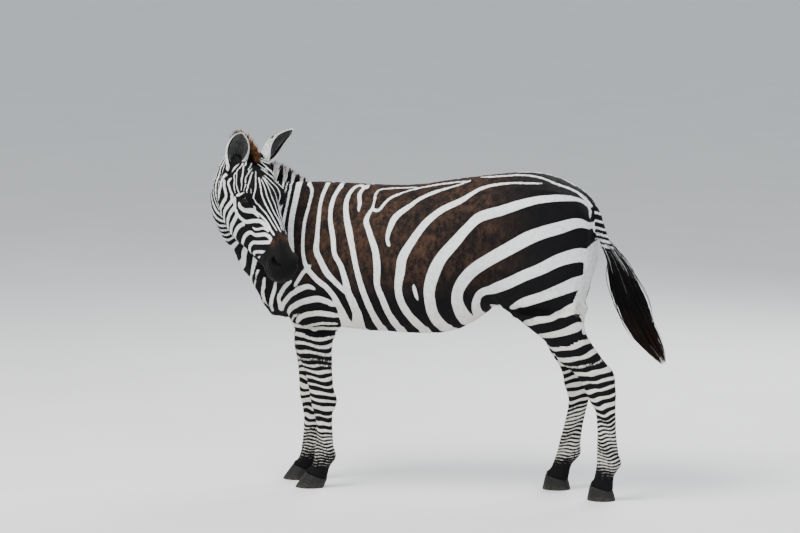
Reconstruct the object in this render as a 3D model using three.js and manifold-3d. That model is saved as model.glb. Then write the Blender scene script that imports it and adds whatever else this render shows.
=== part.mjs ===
// Plains zebra, standing still with its head turned back over its left side. Life size, millimetres, +Z up.
// The body frame has x = 0 on the middle plane (+X is the animal's left), y = 0 at the forelegs
// (the tail end is +Y) and z = 0 on the ground. The finished group is moved so that the bottom centre
// of its bounding box is the origin.
import * as THREE from "three";
import Module from "manifold-3d";

const wasm = await Module();
wasm.setup();

// ---------------------------------------------------------------- driving dimensions
const CUT = 0.3; // gap between neighbouring solids
const FORE_CUT_Z = 660; // the foreleg leaves the chest here
const HIND_CUT_Z = 770; // the thigh leaves the flank here
const HIND_CUT_Y = 765; // nothing of the hind leg lies in front of this
const KNEE_CUT_Z = 425; // forearm from cannon
const HOCK_CUT_Z = 440; // gaskin from hock
const EYE_R = 20; // eyeball
const EAR_L = 158; // ear, base to tip
const MANE_H = 92; // upright mane hair at its longest

// Head frame: u runs from the poll down the face, v towards the forehead side, w to the animal's left.
const HEAD_TURN = (38 * Math.PI) / 180;
const HEAD_TILT = (34 * Math.PI) / 180;
const VIEW_SIDE = (103 * Math.PI) / 180; // the side the face is turned towards, about +Z
const HEAD_CUT = (45 * Math.PI) / 180; // lean of the cut between head and neck, poll to throat
const POLL = new THREE.Vector3(270, -215, 1378);

// ---------------------------------------------------------------- small helpers
const V = (x, y, z) => new THREE.Vector3(x, y, z);
const lerp = (a, b, t) => a + (b - a) * t;
const clamp = (x, a, b) => Math.min(b, Math.max(a, x));
const smooth = (t) => t * t * (3 - 2 * t);

// Piecewise cubic through rows [key, value, value...], the end values held outside the rows.
function curve(rows) {
  const n = rows.length;
  return (key) => {
    const k = clamp(key, rows[0][0], rows[n - 1][0]);
    let i = 0;
    while (i < n - 2 && k > rows[i + 1][0]) i += 1;
    const [a, b] = [rows[i], rows[i + 1]];
    const step = b[0] - a[0];
    const t = (k - a[0]) / step;
    const slope = (j, c) => {
      const [p, q] = [rows[Math.max(0, j - 1)], rows[Math.min(n - 1, j + 1)]];
      return (q[c] - p[c]) / (q[0] - p[0]);
    };
    return a.slice(1).map((value, c) => {
      const [m0, m1] = [slope(i, c + 1) * step, slope(i + 1, c + 1) * step];
      const t2 = t * t;
      const t3 = t2 * t;
      return (2 * t3 - 3 * t2 + 1) * value + (t3 - 2 * t2 + t) * m0 +
        (3 * t2 - 2 * t3) * b[c + 1] + (t3 - t2) * m1;
    });
  };
}

// Smooth union of distances: k is the width of the blend.
function blend(a, b, k) {
  const h = Math.max(k - Math.abs(a - b), 0) / k;
  return Math.min(a, b) - (h * h * k) / 4;
}

// Distance to an ellipsoid whose axes are turned by the given Euler angles (degrees).
function ellipsoid(centre, radii, turn = [0, 0, 0]) {
  const rad = turn.map((d) => (d * Math.PI) / 180);
  const back = new THREE.Matrix4().makeRotationFromEuler(new THREE.Euler(...rad)).transpose();
  const c = V(...centre);
  const [rx, ry, rz] = radii;
  const p = V();
  return (q) => {
    p.copy(q).sub(c).applyMatrix4(back);
    const k0 = Math.hypot(p.x / rx, p.y / ry, p.z / rz);
    const k1 = Math.hypot(p.x / (rx * rx), p.y / (ry * ry), p.z / (rz * rz));
    return k1 > 1e-9 ? (k0 * (k0 - 1)) / k1 : -Math.min(rx, ry, rz);
  };
}

// Distance past a flat end: radial is the distance to the side wall, over how far the point is past the end.
const capped = (radial, over) =>
  (over > 0 ? Math.hypot(Math.max(radial, 0), over) + Math.min(radial, 0) : radial);

// A tube along a spine: rows are [x, y, z, half depth, half width]; "up" says which way depth runs,
// and narrow how much slimmer the tube gets towards its upper edge.
function tube(rows, ups, narrow = 0, perSpan = 5) {
  const at = curve(rows.map((row, i) => [i, ...row]));
  const upAt = curve(ups.map((row, i) => [(i * (rows.length - 1)) / (ups.length - 1), ...row]));
  const n = (rows.length - 1) * perSpan;
  const beads = [];
  for (let i = 0; i <= n; i += 1) {
    const key = i / perSpan;
    const [x, y, z, h, w] = at(key);
    beads.push({ c: V(x, y, z), h, w, up: V(...upAt(key)) });
  }
  beads.forEach((bead, i) => {
    const [p, q] = [beads[Math.max(0, i - 1)], beads[Math.min(n, i + 1)]];
    bead.t = q.c.clone().sub(p.c).normalize();
    bead.up.addScaledVector(bead.t, -bead.up.dot(bead.t)).normalize();
    bead.side = bead.t.clone().cross(bead.up);
  });
  const d = V();
  const field = (q) => {
    let best = Infinity;
    let at0 = 0;
    beads.forEach((bead, i) => {
      const far = q.distanceToSquared(bead.c);
      if (far < best) [best, at0] = [far, i];
    });
    let value = Infinity;
    for (let i = Math.max(0, at0 - 1); i <= Math.min(n - 1, at0); i += 1) {
      const [a, b] = [beads[i], beads[i + 1]];
      const span = b.c.clone().sub(a.c);
      const t = clamp(d.copy(q).sub(a.c).dot(span) / span.lengthSq(), 0, 1);
      d.copy(q).sub(a.c).addScaledVector(span, -t);
      const up = a.up.clone().lerp(b.up, t);
      const side = a.side.clone().lerp(b.side, t);
      const [e, f] = [d.dot(up), d.dot(side)];
      const along = Math.max(0, Math.abs(d.dot(a.t)) - 0.5);
      const h = lerp(a.h, b.h, t);
      const w = lerp(a.w, b.w, t) * (1 - narrow * clamp(e / h, -0.3, 1));
      const k = Math.hypot(e / h, f / w);
      const flat = Math.hypot(e, f);
      const radial = k > 1e-6 ? flat * (1 - 1 / k) : -Math.min(a.h, a.w);
      value = Math.min(value, capped(radial, along > 0.5 ? along : 0));
    }
    return value;
  };
  return { field, beads, at, upAt };
}

// A mirrored pair of ellipsoids, given for the left side.
const pair = (centre, radii, turn = [0, 0, 0]) => [
  ellipsoid(centre, radii, turn),
  ellipsoid([-centre[0], centre[1], centre[2]], radii, [turn[0], -turn[1], -turn[2]]),
];

// ---------------------------------------------------------------- trunk
// y: top, bottom, half width, height of the widest level, roundness above and below it
const TRUNK = curve([
  [-240, 1000, 830, 60, 930, 2, 2],
  [-200, 1110, 790, 110, 935, 2, 2],
  [-120, 1225, 735, 150, 935, 1.9, 2],
  [-40, 1268, 705, 172, 930, 1.75, 2],
  [63, 1283, 680, 192, 920, 1.7, 2.1],
  [200, 1277, 662, 225, 920, 1.9, 2.2],
  [383, 1270, 647, 258, 925, 2.15, 2.2],
  [511, 1281, 647, 266, 930, 2.2, 2.2],
  [600, 1299, 660, 262, 945, 2.1, 2.2],
  [690, 1312, 700, 250, 975, 2.0, 2.1],
  [785, 1326, 765, 236, 1010, 1.95, 2],
  [909, 1338, 800, 228, 1050, 1.9, 2],
  [1000, 1330, 850, 215, 1060, 1.9, 2],
  [1100, 1294, 930, 180, 1080, 1.9, 2],
  [1155, 1256, 985, 130, 1100, 2, 2],
  [1185, 1222, 1040, 70, 1120, 2, 2],
]);
const TRUNK_ENDS = [-240, 1185];

function trunkCore(p) {
  const y = clamp(p.y, ...TRUNK_ENDS);
  const [top, bottom, half, level, above, below] = TRUNK(y);
  const up = p.z > level;
  const e = up ? above : below;
  const dz = Math.abs(p.z - level);
  const dx = Math.abs(p.x);
  const k = ((dx / half) ** e + (dz / (up ? top - level : level - bottom)) ** e) ** (1 / e);
  const radial = k > 1e-6 ? Math.hypot(dx, dz) * (1 - 1 / k) : -half;
  return capped(radial, Math.abs(p.y - y));
}

const MUSCLES = [
  ...pair([126, 20, 1005], [58, 95, 210], [-17, -14, 0]), // shoulder blade
  ...pair([135, 70, 880], [66, 130, 125]), // upper arm
  ...pair([66, -168, 880], [66, 58, 112], [14, 0, 0]), // breast
  ...pair([52, -118, 772], [54, 74, 66], [26, 0, 0]), // brisket
  ...pair([120, 930, 1165], [115, 200, 140], [8, 0, 0]), // croup
  ...pair([138, 1000, 965], [105, 172, 215], [-18, 0, 0]), // thigh
  ...pair([92, 1098, 1035], [80, 112, 190], [-8, 0, 0]), // buttock
  ...pair([150, 915, 865], [54, 66, 92], [-20, 0, 0]), // stifle
];

// ---------------------------------------------------------------- neck
// x, y, z, half depth, half width: from inside the chest round to the poll
const NECK_ROWS = [
  [0, 60, 1005, 235, 125],
  [3, -60, 1045, 222, 120],
  [8, -145, 1090, 205, 112],
  [32, -220, 1138, 186, 104],
  [75, -270, 1186, 166, 98],
  [130, -291, 1232, 148, 92],
  [188, -284, 1278, 133, 84],
  [234, -262, 1306, 124, 80],
  [259, -228, 1314, 116, 74],
];
const NECK_UPS = [
  [0, 0.25, 0.97],
  [0, 0.4, 0.91],
  [0.05, 0.38, 0.92],
  [0.0, 0.2, 0.98],
  [0, 0.05, 1],
  [0.05, 0.05, 1],
  [0.15, 0.1, 0.98],
  [0.2, 0.2, 0.96],
  [0.19, 0.25, 0.95],
];
const NECK = tube(NECK_ROWS, NECK_UPS, 0.34);

// ---------------------------------------------------------------- head
const facing = V(
  Math.cos(HEAD_TURN) * Math.sin(VIEW_SIDE) + Math.sin(HEAD_TURN) * Math.cos(VIEW_SIDE),
  -Math.cos(HEAD_TURN) * Math.cos(VIEW_SIDE) + Math.sin(HEAD_TURN) * Math.sin(VIEW_SIDE),
  0,
);
const mix = (a, p, b, q) => a.clone().multiplyScalar(p).addScaledVector(b, q);
const HEAD_U = mix(facing, Math.sin(HEAD_TILT), V(0, 0, 1), -Math.cos(HEAD_TILT));
const HEAD_V = mix(facing, Math.cos(HEAD_TILT), V(0, 0, 1), Math.sin(HEAD_TILT));
const HEAD_W = V(0, 0, 1).cross(facing);
const headPoint = (u, v, w) =>
  POLL.clone().addScaledVector(HEAD_U, u).addScaledVector(HEAD_V, v).addScaledVector(HEAD_W, w);
const headLocal = (p) => {
  const d = p.clone().sub(POLL);
  return V(d.dot(HEAD_U), d.dot(HEAD_V), d.dot(HEAD_W));
};

// u: middle v, half depth, half width, of skull and upper jaw taken together
const SKULL = tube(
  [
    [-22, -10, 0, 46, 54],
    [10, 2, 0, 64, 74],
    [55, -12, 0, 93, 84],
    [110, -28, 0, 121, 90],
    [160, -38, 0, 134, 92],
    [210, -42, 0, 134, 86],
    [260, -38, 0, 122, 74],
    [310, -30, 0, 104, 61],
    [360, -23, 0, 88, 53],
    [410, -16, 0, 76, 52],
    [450, -13, 0, 69, 56],
    [490, -14, 0, 62, 60],
    [518, -18, 0, 48, 54],
    [540, -22, 0, 26, 36],
  ],
  [[0, 1, 0], [0, 1, 0]],
);
// Pairs are given for the left side (w > 0); centre and radii run along u, v, w.
const headPair = (c, r, turn = [0, 0, 0]) => [
  ellipsoid(c, r, turn),
  ellipsoid([c[0], c[1], -c[2]], r, [-turn[0], -turn[1], turn[2]]),
];
const FACE = [
  ...headPair([165, -98, 50], [95, 82, 37], [0, 4, -10]), // cheek
  ...headPair([236, -136, 37], [95, 74, 26], [0, 4, 22]), // jowl
  ...headPair([100, 56, 46], [70, 30, 40], [0, 8, -6]), // temple
  ...headPair([184, 64, 70], [42, 22, 30], [0, 6, -8]), // brow over the eye
  ...headPair([206, 20, 74], [36, 24, 22]), // under the eye
  ...headPair([275, 0, 46], [95, 10, 17], [0, 12, -4]), // cheek ridge
  ...headPair([310, 48, 22], [150, 20, 20], [0, 0, -6]), // nasal bone
  ...headPair([484, 18, 48], [36, 30, 22], [0, 10, 0]), // nostril rim
  ...headPair([14, 22, 62], [34, 38, 26]), // ear base
];
const CHIN = [
  ellipsoid([516, -10, 0], [32, 42, 50]), // upper lip
  ellipsoid([486, -64, 0], [42, 24, 35]), // lower lip
  ellipsoid([448, -74, 0], [42, 20, 29]), // chin
  ellipsoid([305, -124, 0], [150, 36, 46], [0, 0, 16]), // lower jaw
];
const HOLLOWS = [
  ...headPair([488, 29, 67], [20, 11, 12], [0, 14, -35]), // nostril
];

function headField(p) {
  const q = headLocal(p);
  let d = SKULL.field(q);
  for (const part of FACE) d = blend(d, part(q), 22);
  for (const part of CHIN) d = blend(d, part(q), 18);
  for (const part of HOLLOWS) d = -blend(-d, part(q), 8);
  return d;
}

// ---------------------------------------------------------------- legs
// z: x, y, half depth (along y), half width (along x), for a left leg
const FORE_ROWS = [
  [860, 132, 55, 120, 76],
  [780, 132, 68, 108, 72],
  [700, 124, 60, 96, 66],
  [610, 114, 40, 83, 57],
  [560, 108, 47, 74, 50],
  [500, 102, 58, 62, 44],
  [440, 97, 66, 56, 41],
  [385, 93, 72, 50, 42],
  [330, 91, 75.5, 42.5, 37],
  [285, 90, 79, 34.5, 28.5],
  [240, 88, 81, 34.5, 27],
  [205, 87, 81, 36.5, 29],
  [165, 86, 80, 39.5, 34],
  [120, 86, 76, 42.5, 36],
  [90, 86, 63, 41, 31.5],
  [60, 86, 50, 43, 33],
  [38, 86, 40, 47, 38],
];
const HIND_ROWS = [
  [960, 148, 970, 180, 92],
  [870, 150, 990, 172, 88],
  [782, 148, 1036, 154, 84],
  [703, 139, 1075, 113, 72],
  [650, 132, 1121, 95, 60],
  [600, 128, 1160, 93, 52],
  [541, 125, 1209, 87, 44],
  [500, 123, 1236, 76, 40],
  [448, 121, 1251, 65, 38],
  [399, 118, 1266, 47.5, 34],
  [360, 116, 1272, 41.5, 30],
  [298, 113, 1275, 40, 28],
  [248, 111, 1276.5, 42, 29],
  [198, 108, 1279, 46, 33],
  [160, 106, 1281, 47.5, 36],
  [120, 105, 1270, 42, 34],
  [85, 103, 1262, 42, 32],
  [58, 101, 1256, 46, 35],
  [38, 100, 1250, 50, 40],
];
// How far each right leg stands from the left one's place, by height: x, y
const FORE_STEP = curve([[0, 2, -100], [285, 2, -100], [480, 0, -85], [700, 0, -45], [900, 0, 0]]);
const HIND_STEP = curve([
  [0, 0, -228], [110, 0, -213], [220, 0, -190], [320, 0, -166], [430, 0, -138], [520, 0, -115],
  [610, 0, -85], [720, 0, -45], [960, 0, 0],
]);

// One leg: its rows, the spine its rings start from and the distance to its flesh.
function leg(rows, side, step) {
  const moved = rows.map(([z, x, y, h, w]) => {
    const [dx, dy] = side > 0 ? [0, 0] : step(z);
    return [z, side * (x + dx), y + dy, h, w];
  });
  const spine = curve([...moved].reverse());
  // Level sections keep the front and back outlines exactly where the rows put them.
  const field = (p) => {
    const [x, y, h, w] = spine(p.z);
    const k = (Math.abs((p.x - x) / w) ** 2.1 + Math.abs((p.y - y) / h) ** 2.1) ** (1 / 2.1);
    const radial = k > 1e-6 ? Math.hypot(p.x - x, p.y - y) * (1 - 1 / k) : -w;
    return capped(radial, Math.max(0, p.z - moved[0][0], moved[moved.length - 1][0] - p.z));
  };
  return { spine, field, side };
}
const LEGS = {
  fore_left: leg(FORE_ROWS, 1, FORE_STEP),
  fore_right: leg(FORE_ROWS, -1, FORE_STEP),
  hind_left: leg(HIND_ROWS, 1, HIND_STEP),
  hind_right: leg(HIND_ROWS, -1, HIND_STEP),
};

// Bumps that make a joint, given from the leg's own spine: dx outwards, dy, z, radii.
function knobs(name, list) {
  const { spine, side } = LEGS[name];
  return list.map(([dx, dy, z, rx, ry, rz]) => {
    const [x, y] = spine(z);
    return ellipsoid([x + side * dx, y + dy, z], [rx, ry, rz]);
  });
}
const FORE_KNOBS = [
  [0, 6, 375, 44, 46, 44], // knee
  [0, 46, 366, 20, 16, 22], // bone behind the knee
  [0, 34, 136, 22, 16, 20], // ergot
  [30, -4, 600, 28, 52, 95], // forearm muscle
];
const HIND_KNOBS = [
  [0, 60, 520, 18, 22, 40], // point of the hock
  [0, 0, 440, 40, 52, 50], // hock
  [0, 36, 152, 24, 18, 22], // ergot
  [14, 0, 640, 50, 70, 90], // gaskin muscle
];
for (const name of Object.keys(LEGS)) {
  const list = knobs(name, name.startsWith("fore") ? FORE_KNOBS : HIND_KNOBS);
  const bare = LEGS[name].field;
  LEGS[name].field = (p) => list.reduce((d, knob) => blend(d, knob(p), 24), bare(p));
}

// ---------------------------------------------------------------- the whole flesh
function bodyField(p) {
  let d = trunkCore(p);
  for (const muscle of MUSCLES) d = blend(d, muscle(p), 60);
  d = blend(d, NECK.field(p), 70);
  for (const name of Object.keys(LEGS)) {
    if (p.z < 1000) d = blend(d, LEGS[name].field(p), 55);
  }
  return d;
}
const neckField = (p) => blend(bodyField(p), headField(p), 40);
// The head side of the throat: the head with the neck behind it.
const throatField = (p) => blend(headField(p), NECK.field(p), 40);
const tailRoot = ellipsoid([0, 1150, 1214], [34, 44, 36], [-40, 0, 0]);
const trunkField = (p) => blend(bodyField(p), tailRoot(p), 40);

// ---------------------------------------------------------------- ring lofts
// First way out of the field from a point inside it, along dir.
function reach(field, from, dir, far = 700, step = 14) {
  const p = V();
  const at = (t) => field(p.copy(from).addScaledVector(dir, t));
  let t = step;
  while (t < far && at(t) < 0) t += step;
  let [lo, hi] = [t - step, Math.min(t, far)];
  for (let i = 0; i < 14; i += 1) {
    const mid = (lo + hi) / 2;
    if (at(mid) < 0) lo = mid;
    else hi = mid;
  }
  return Math.max(lo, 1.5);
}

// One ring of points round a centre, in the plane of the unit vectors a and b.
function ring(field, centre, a, b, count, far) {
  const points = [];
  for (let i = 0; i < count; i += 1) {
    const turn = (2 * Math.PI * i) / count;
    const dir = a.clone().multiplyScalar(Math.cos(turn)).addScaledVector(b, Math.sin(turn));
    points.push(centre.clone().addScaledVector(dir, reach(field, centre, dir, far)));
  }
  return { centre, points };
}

// Closed body through rings of equal count; each end is a fan to its centre.
function loft(rings) {
  const count = rings[0].points.length;
  const flat = rings.flatMap((r) => r.points);
  const faces = [];
  for (let j = 0; j + 1 < rings.length; j += 1) {
    for (let i = 0; i < count; i += 1) {
      const [a, b] = [j * count + i, j * count + ((i + 1) % count)];
      const [c, d] = [a + count, b + count];
      const split = flat[a].distanceToSquared(flat[d]) < flat[b].distanceToSquared(flat[c]);
      if (split) faces.push(a, b, d, a, d, c);
      else faces.push(a, b, c, b, d, c);
    }
  }
  const [first, last] = [flat.length, flat.length + 1];
  flat.push(rings[0].centre, rings[rings.length - 1].centre);
  const base = (rings.length - 1) * count;
  for (let i = 0; i < count; i += 1) {
    const k = (i + 1) % count;
    faces.push(k, i, first, base + i, base + k, last);
  }
  return outward(flat, faces);
}

// Turn a closed list of faces so that its volume is positive.
function outward(points, faces) {
  let volume = 0;
  for (let i = 0; i < faces.length; i += 3) {
    const [a, b, c] = [points[faces[i]], points[faces[i + 1]], points[faces[i + 2]]];
    volume += a.dot(b.clone().cross(c));
  }
  if (volume < 0) {
    for (let i = 0; i < faces.length; i += 3) [faces[i], faces[i + 1]] = [faces[i + 1], faces[i]];
  }
  return { points, faces };
}

// The same body grown by d along its vertex normals, to cut a neighbour with a thin gap.
function grown({ points, faces }, d) {
  const normals = points.map(() => V());
  for (let i = 0; i < faces.length; i += 3) {
    const [a, b, c] = [faces[i], faces[i + 1], faces[i + 2]];
    const n = points[b].clone().sub(points[a]).cross(points[c].clone().sub(points[a]));
    for (const k of [a, b, c]) normals[k].add(n);
  }
  return { points: points.map((p, i) => p.clone().addScaledVector(normals[i].normalize(), d)), faces };
}

// ---------------------------------------------------------------- solids in and out of manifold-3d
function solid({ points, faces }) {
  const numbers = new Float32Array(points.length * 3);
  points.forEach((p, i) => numbers.set([p.x, p.y, p.z], i * 3));
  const triVerts = new Uint32Array(faces);
  return new wasm.Manifold(new wasm.Mesh({ numProp: 3, vertProperties: numbers, triVerts }));
}

function surface(manifold) {
  const mesh = manifold.getMesh();
  const points = [];
  for (let i = 0; i < mesh.vertProperties.length; i += mesh.numProp) {
    points.push(V(mesh.vertProperties[i], mesh.vertProperties[i + 1], mesh.vertProperties[i + 2]));
  }
  return { points, faces: Array.from(mesh.triVerts) };
}

// The largest piece of a cut solid.
function largest(manifold) {
  const pieces = manifold.decompose();
  return pieces.reduce((best, piece) => (piece.volume() > best.volume() ? piece : best));
}

// ---------------------------------------------------------------- trunk node
// Planes fan out from the neck cut to level sections of the barrel.
const NECK_CUT = { centre: V(0, -134, 1070), lean: (25.5 * Math.PI) / 180 };
const planeAxes = (lean) => [V(1, 0, 0), V(0, Math.sin(lean), Math.cos(lean))];

function trunkBody() {
  const rings = [];
  const field = (p) => {
    let d = trunkField(p);
    d = Math.max(d, FORE_CUT_Z - p.z);
    if (p.y > HIND_CUT_Y) d = Math.max(d, HIND_CUT_Z - p.z);
    return d;
  };
  // y, z of the ring's centre and its share of the neck cut's lean
  const stations = [
    [-134, 1070, 1], [-112, 1060, 0.93], [-85, 1050, 0.85], [-50, 1035, 0.74], [-10, 1015, 0.6],
    [35, 1000, 0.45], [80, 985, 0.3], [130, 975, 0.15], [185, 970, 0], [250, 965, 0], [325, 960, 0],
    [405, 960, 0], [490, 960, 0], [570, 970, 0], [640, 985, 0], [700, 1000, 0],
    [HIND_CUT_Y - 0.2, 1010, 0], [HIND_CUT_Y + 0.2, 1010, 0], [810, 1010, 0], [860, 1010, 0],
    [910, 1010, 0], [960, 1015, 0], [1010, 1025, 0], [1055, 1040, 0], [1095, 1055, 0],
    [1128, 1065, 0], [1154, 1075, 0], [1174, 1082, 0], [1188, 1086, 0], [1198, 1086, 0],
  ];
  for (const [y, z, lean] of stations) {
    const [a, b] = planeAxes(NECK_CUT.lean * lean);
    rings.push(ring(field, V(0, y, z), a, b, 26));
  }
  const last = rings[rings.length - 1];
  last.centre = V(0, last.centre.y + 5, last.centre.z);
  return loft(rings);
}

// ---------------------------------------------------------------- neck nodes
// The throat cut: a plane through the poll behind the ears and the throat behind the jaw.
const THROAT_CENTRE = headPoint(45, -88, 0);
const THROAT_UP = mix(HEAD_V, Math.cos(HEAD_CUT), HEAD_U, -Math.sin(HEAD_CUT));

// One ring of the neck at key t: its plane turns from the trunk's cut through the bend to the throat cut.
function neckRing(t, shift) {
  const [x, y, z] = NECK.at(t);
  const centre = V(x, y, z);
  const [px, py, pz] = NECK.at(t - 0.1);
  const [qx, qy, qz] = NECK.at(t + 0.1);
  const along = V(qx - px, qy - py, qz - pz).normalize();
  const up = V(...NECK.upAt(t));
  const [a0, b0] = planeAxes(NECK_CUT.lean);
  const start = clamp((3 - t) / 1.2, 0, 1); // 1 on the neck cut plane
  const end = smooth(clamp((t - 4.6) / 2.7, 0, 1)); // 1 on the throat plane
  centre.lerp(NECK_CUT.centre, clamp((2.4 - t) / 0.6, 0, 1));
  centre.lerp(THROAT_CENTRE, clamp((t - 6.8) / 0.5, 0, 1));
  up.addScaledVector(along, -up.dot(along)).normalize();
  up.lerp(b0, start).lerp(THROAT_UP, end).normalize();
  const side = along.clone().cross(up);
  side.lerp(a0.clone().negate(), start).lerp(HEAD_W.clone().negate(), end);
  side.addScaledVector(up, -side.dot(up)).normalize();
  const normal = up.clone().cross(side).normalize();
  centre.addScaledVector(normal.multiplyScalar(Math.sign(normal.dot(along)) || 1), shift);
  return ring(neckField, centre, side, up, 22, t > 4.5 ? 190 : 270);
}
const NECK_KEYS = [1.8, 2.15, 2.55, 3, 3.45, 3.9, 4.35, 4.8, 5.2, 5.6, 6, 6.4, 6.8, 7.3];
const NECK_MID = 6; // index of the ring where the neck is divided

function neckBody(from, to) {
  const keys = NECK_KEYS.slice(from, to + 1);
  const shift = (i) => (i === 0 ? CUT / 2 : i === keys.length - 1 ? -CUT / 2 : 0);
  return loft(keys.map((t, i) => neckRing(t, shift(i))));
}

// ---------------------------------------------------------------- head node
function headRings(count) {
  const rings = [];
  // centre u, v and how far the plane has turned from the throat cut (1) to square on the face (0)
  const stations = [
    [45, -88, 1], [53, -82, 0.96], [62, -76, 0.91], [72, -69, 0.85], [83, -62, 0.78], [95, -56, 0.7],
    [108, -50, 0.61], [122, -45, 0.51], [137, -41, 0.4], [153, -38, 0.29], [170, -35, 0.18],
    [187, -33, 0.08], [204, -32, 0], [222, -31, 0], [242, -29, 0], [265, -26, 0], [292, -24, 0],
    [322, -20, 0], [355, -16, 0], [388, -13, 0], [418, -11, 0], [444, -11, 0], [464, -12, 0],
    [482, -13, 0], [498, -15, 0], [512, -18, 0], [525, -21, 0], [536, -23, 0], [543, -24, 0],
    [547, -24, 0],
  ];
  for (const [u, v, turn] of stations) {
    const angle = turn * HEAD_CUT;
    const up = mix(HEAD_V, Math.cos(angle), HEAD_U, -Math.sin(angle));
    rings.push(ring(throatField, headPoint(u, v, 0), HEAD_W, up, count, 210));
  }
  return rings;
}

function headBody() {
  const rings = headRings(22);
  const normal = mix(HEAD_U, Math.cos(HEAD_CUT), HEAD_V, Math.sin(HEAD_CUT));
  for (const p of [...rings[0].points, rings[0].centre]) p.addScaledVector(normal, CUT / 2);
  rings[rings.length - 1].centre.addScaledVector(HEAD_U, 1.5);
  return loft(rings);
}

// ---------------------------------------------------------------- eyes
const EYE = { u: 201, v: 42, w: 87 };

function ball(centre, radius, across, around) {
  const points = [];
  const faces = [];
  const axis = HEAD_W;
  for (let j = 1; j < across; j += 1) {
    const lat = (Math.PI * j) / across;
    for (let i = 0; i < around; i += 1) {
      const lon = (2 * Math.PI * i) / around;
      points.push(centre.clone()
        .addScaledVector(axis, radius * Math.cos(lat))
        .addScaledVector(HEAD_U, radius * Math.sin(lat) * Math.cos(lon))
        .addScaledVector(HEAD_V, radius * Math.sin(lat) * Math.sin(lon)));
    }
  }
  const [north, south] = [points.length, points.length + 1];
  for (const end of [radius, -radius]) points.push(centre.clone().addScaledVector(axis, end));
  for (let i = 0; i < around; i += 1) {
    const k = (i + 1) % around;
    faces.push(north, i, k, south, (across - 2) * around + k, (across - 2) * around + i);
    for (let j = 0; j + 2 < across; j += 1) {
      const [a, b] = [j * around + i, j * around + k];
      faces.push(a, a + around, b, b, a + around, b + around);
    }
  }
  return outward(points, faces);
}

const eyeBall = (side, extra) => ball(headPoint(EYE.u, EYE.v, side * EYE.w), EYE_R + extra, 7, 12);

// ---------------------------------------------------------------- ears
// A cupped leaf: rings from base to tip, each an arc of flesh that is thick at the back and open in front.
const EAR = curve([
  // height share: radius across, cup depth, half opening angle (degrees), thickness
  [0, 28, 28, 25, 13],
  [0.12, 36, 31, 38, 9],
  [0.3, 45, 31, 60, 6.5],
  [0.5, 47, 26, 76, 5.5],
  [0.7, 41, 19, 86, 5],
  [0.86, 28, 11, 91, 4.5],
  [0.95, 15.5, 6, 94, 4],
  [1, 6, 2.5, 95, 3.5],
]);

const EAR_STEPS = [0, 0.12, 0.26, 0.42, 0.58, 0.73, 0.86, 0.95, 1];
const EAR_ARC = 7; // points on each side of the flesh

function earBody(base, axis, open) {
  const up = axis.clone().normalize();
  const front = open.clone().addScaledVector(up, -open.dot(up)).normalize();
  const across = up.clone().cross(front);
  return stripLoft(EAR_STEPS.map((t) => {
    const [wide, deep, half, thick] = EAR(t);
    const bow = -10 * Math.sin(Math.PI * t) + 6 * t; // the ear leans forward a little towards its tip
    const centre = base.clone().addScaledVector(up, EAR_L * t).addScaledVector(front, bow);
    const gap = (half * Math.PI) / 180;
    const points = [];
    for (let k = 0; k < 2 * EAR_ARC; k += 1) {
      const inner = k >= EAR_ARC;
      const s = inner ? 2 * EAR_ARC - 1 - k : k;
      const angle = gap + ((2 * Math.PI - 2 * gap) * s) / (EAR_ARC - 1);
      const [rx, ry] = inner ? [wide - thick, Math.max(deep - thick, 0.6)] : [wide, deep];
      points.push(centre.clone()
        .addScaledVector(front, Math.cos(angle) * ry)
        .addScaledVector(across, Math.sin(angle) * rx));
    }
    return { centre, points };
  }));
}

// Like loft, for rings that are thin closed strips: the ends are closed by pairing the two sides.
function stripLoft(rings) {
  const body = loft(rings);
  const count = rings[0].points.length;
  const { points } = body;
  const faces = body.faces.filter((_, i, all) => {
    const start = i - (i % 3);
    return Math.max(all[start], all[start + 1], all[start + 2]) < rings.length * count;
  });
  const side = faces.length ? Math.sign(loopSide(points, faces, count)) : 1;
  for (const [offset, turn] of [[0, side], [(rings.length - 1) * count, -side]]) {
    for (let s = 0; s + 1 < count / 2; s += 1) {
      const [a, b, c, d] = [offset + s, offset + s + 1, offset + count - 2 - s, offset + count - 1 - s];
      if (turn > 0) faces.push(a, d, c, a, c, b);
      else faces.push(a, c, d, a, b, c);
    }
  }
  return outward(points.slice(0, rings.length * count), faces);
}

// Whether the first wall face runs with the order of the first ring (+1) or against it (-1).
function loopSide(points, faces, count) {
  const [a, b, c] = faces;
  const low = [a, b, c].filter((k) => k < count);
  if (low.length < 2) return 1;
  const order = [a, b, c, a];
  for (let i = 0; i < 3; i += 1) {
    if (order[i] < count && order[i + 1] < count) return order[i + 1] === (order[i] + 1) % count ? 1 : -1;
  }
  return 1;
}

const EARS = {
  right: { base: headPoint(26, 16, -70), axis: V(0.325, 0.352, 0.874), open: V(0.888, -0.062, -0.21) },
  left: { base: headPoint(9, 30, 96), axis: V(-0.142, 0.64, 0.755), open: V(0.365, 0.853, -0.356) },
};

// ---------------------------------------------------------------- mane
const MANE_SHARE = curve([[0, 0.25], [0.1, 0.62], [0.3, 0.95], [0.75, 1], [1, 0.95]]); // of MANE_H, withers to poll
const MANE_COUNT = 17; // stations on the neck
// Stations on the head: u, how far the hair leans forward (radians), share of MANE_H
const FORELOCK = [[-4, 0.75, 0.92], [16, 1.05, 0.82], [36, 1.4, 0.62], [54, 1.7, 0.4]];

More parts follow.
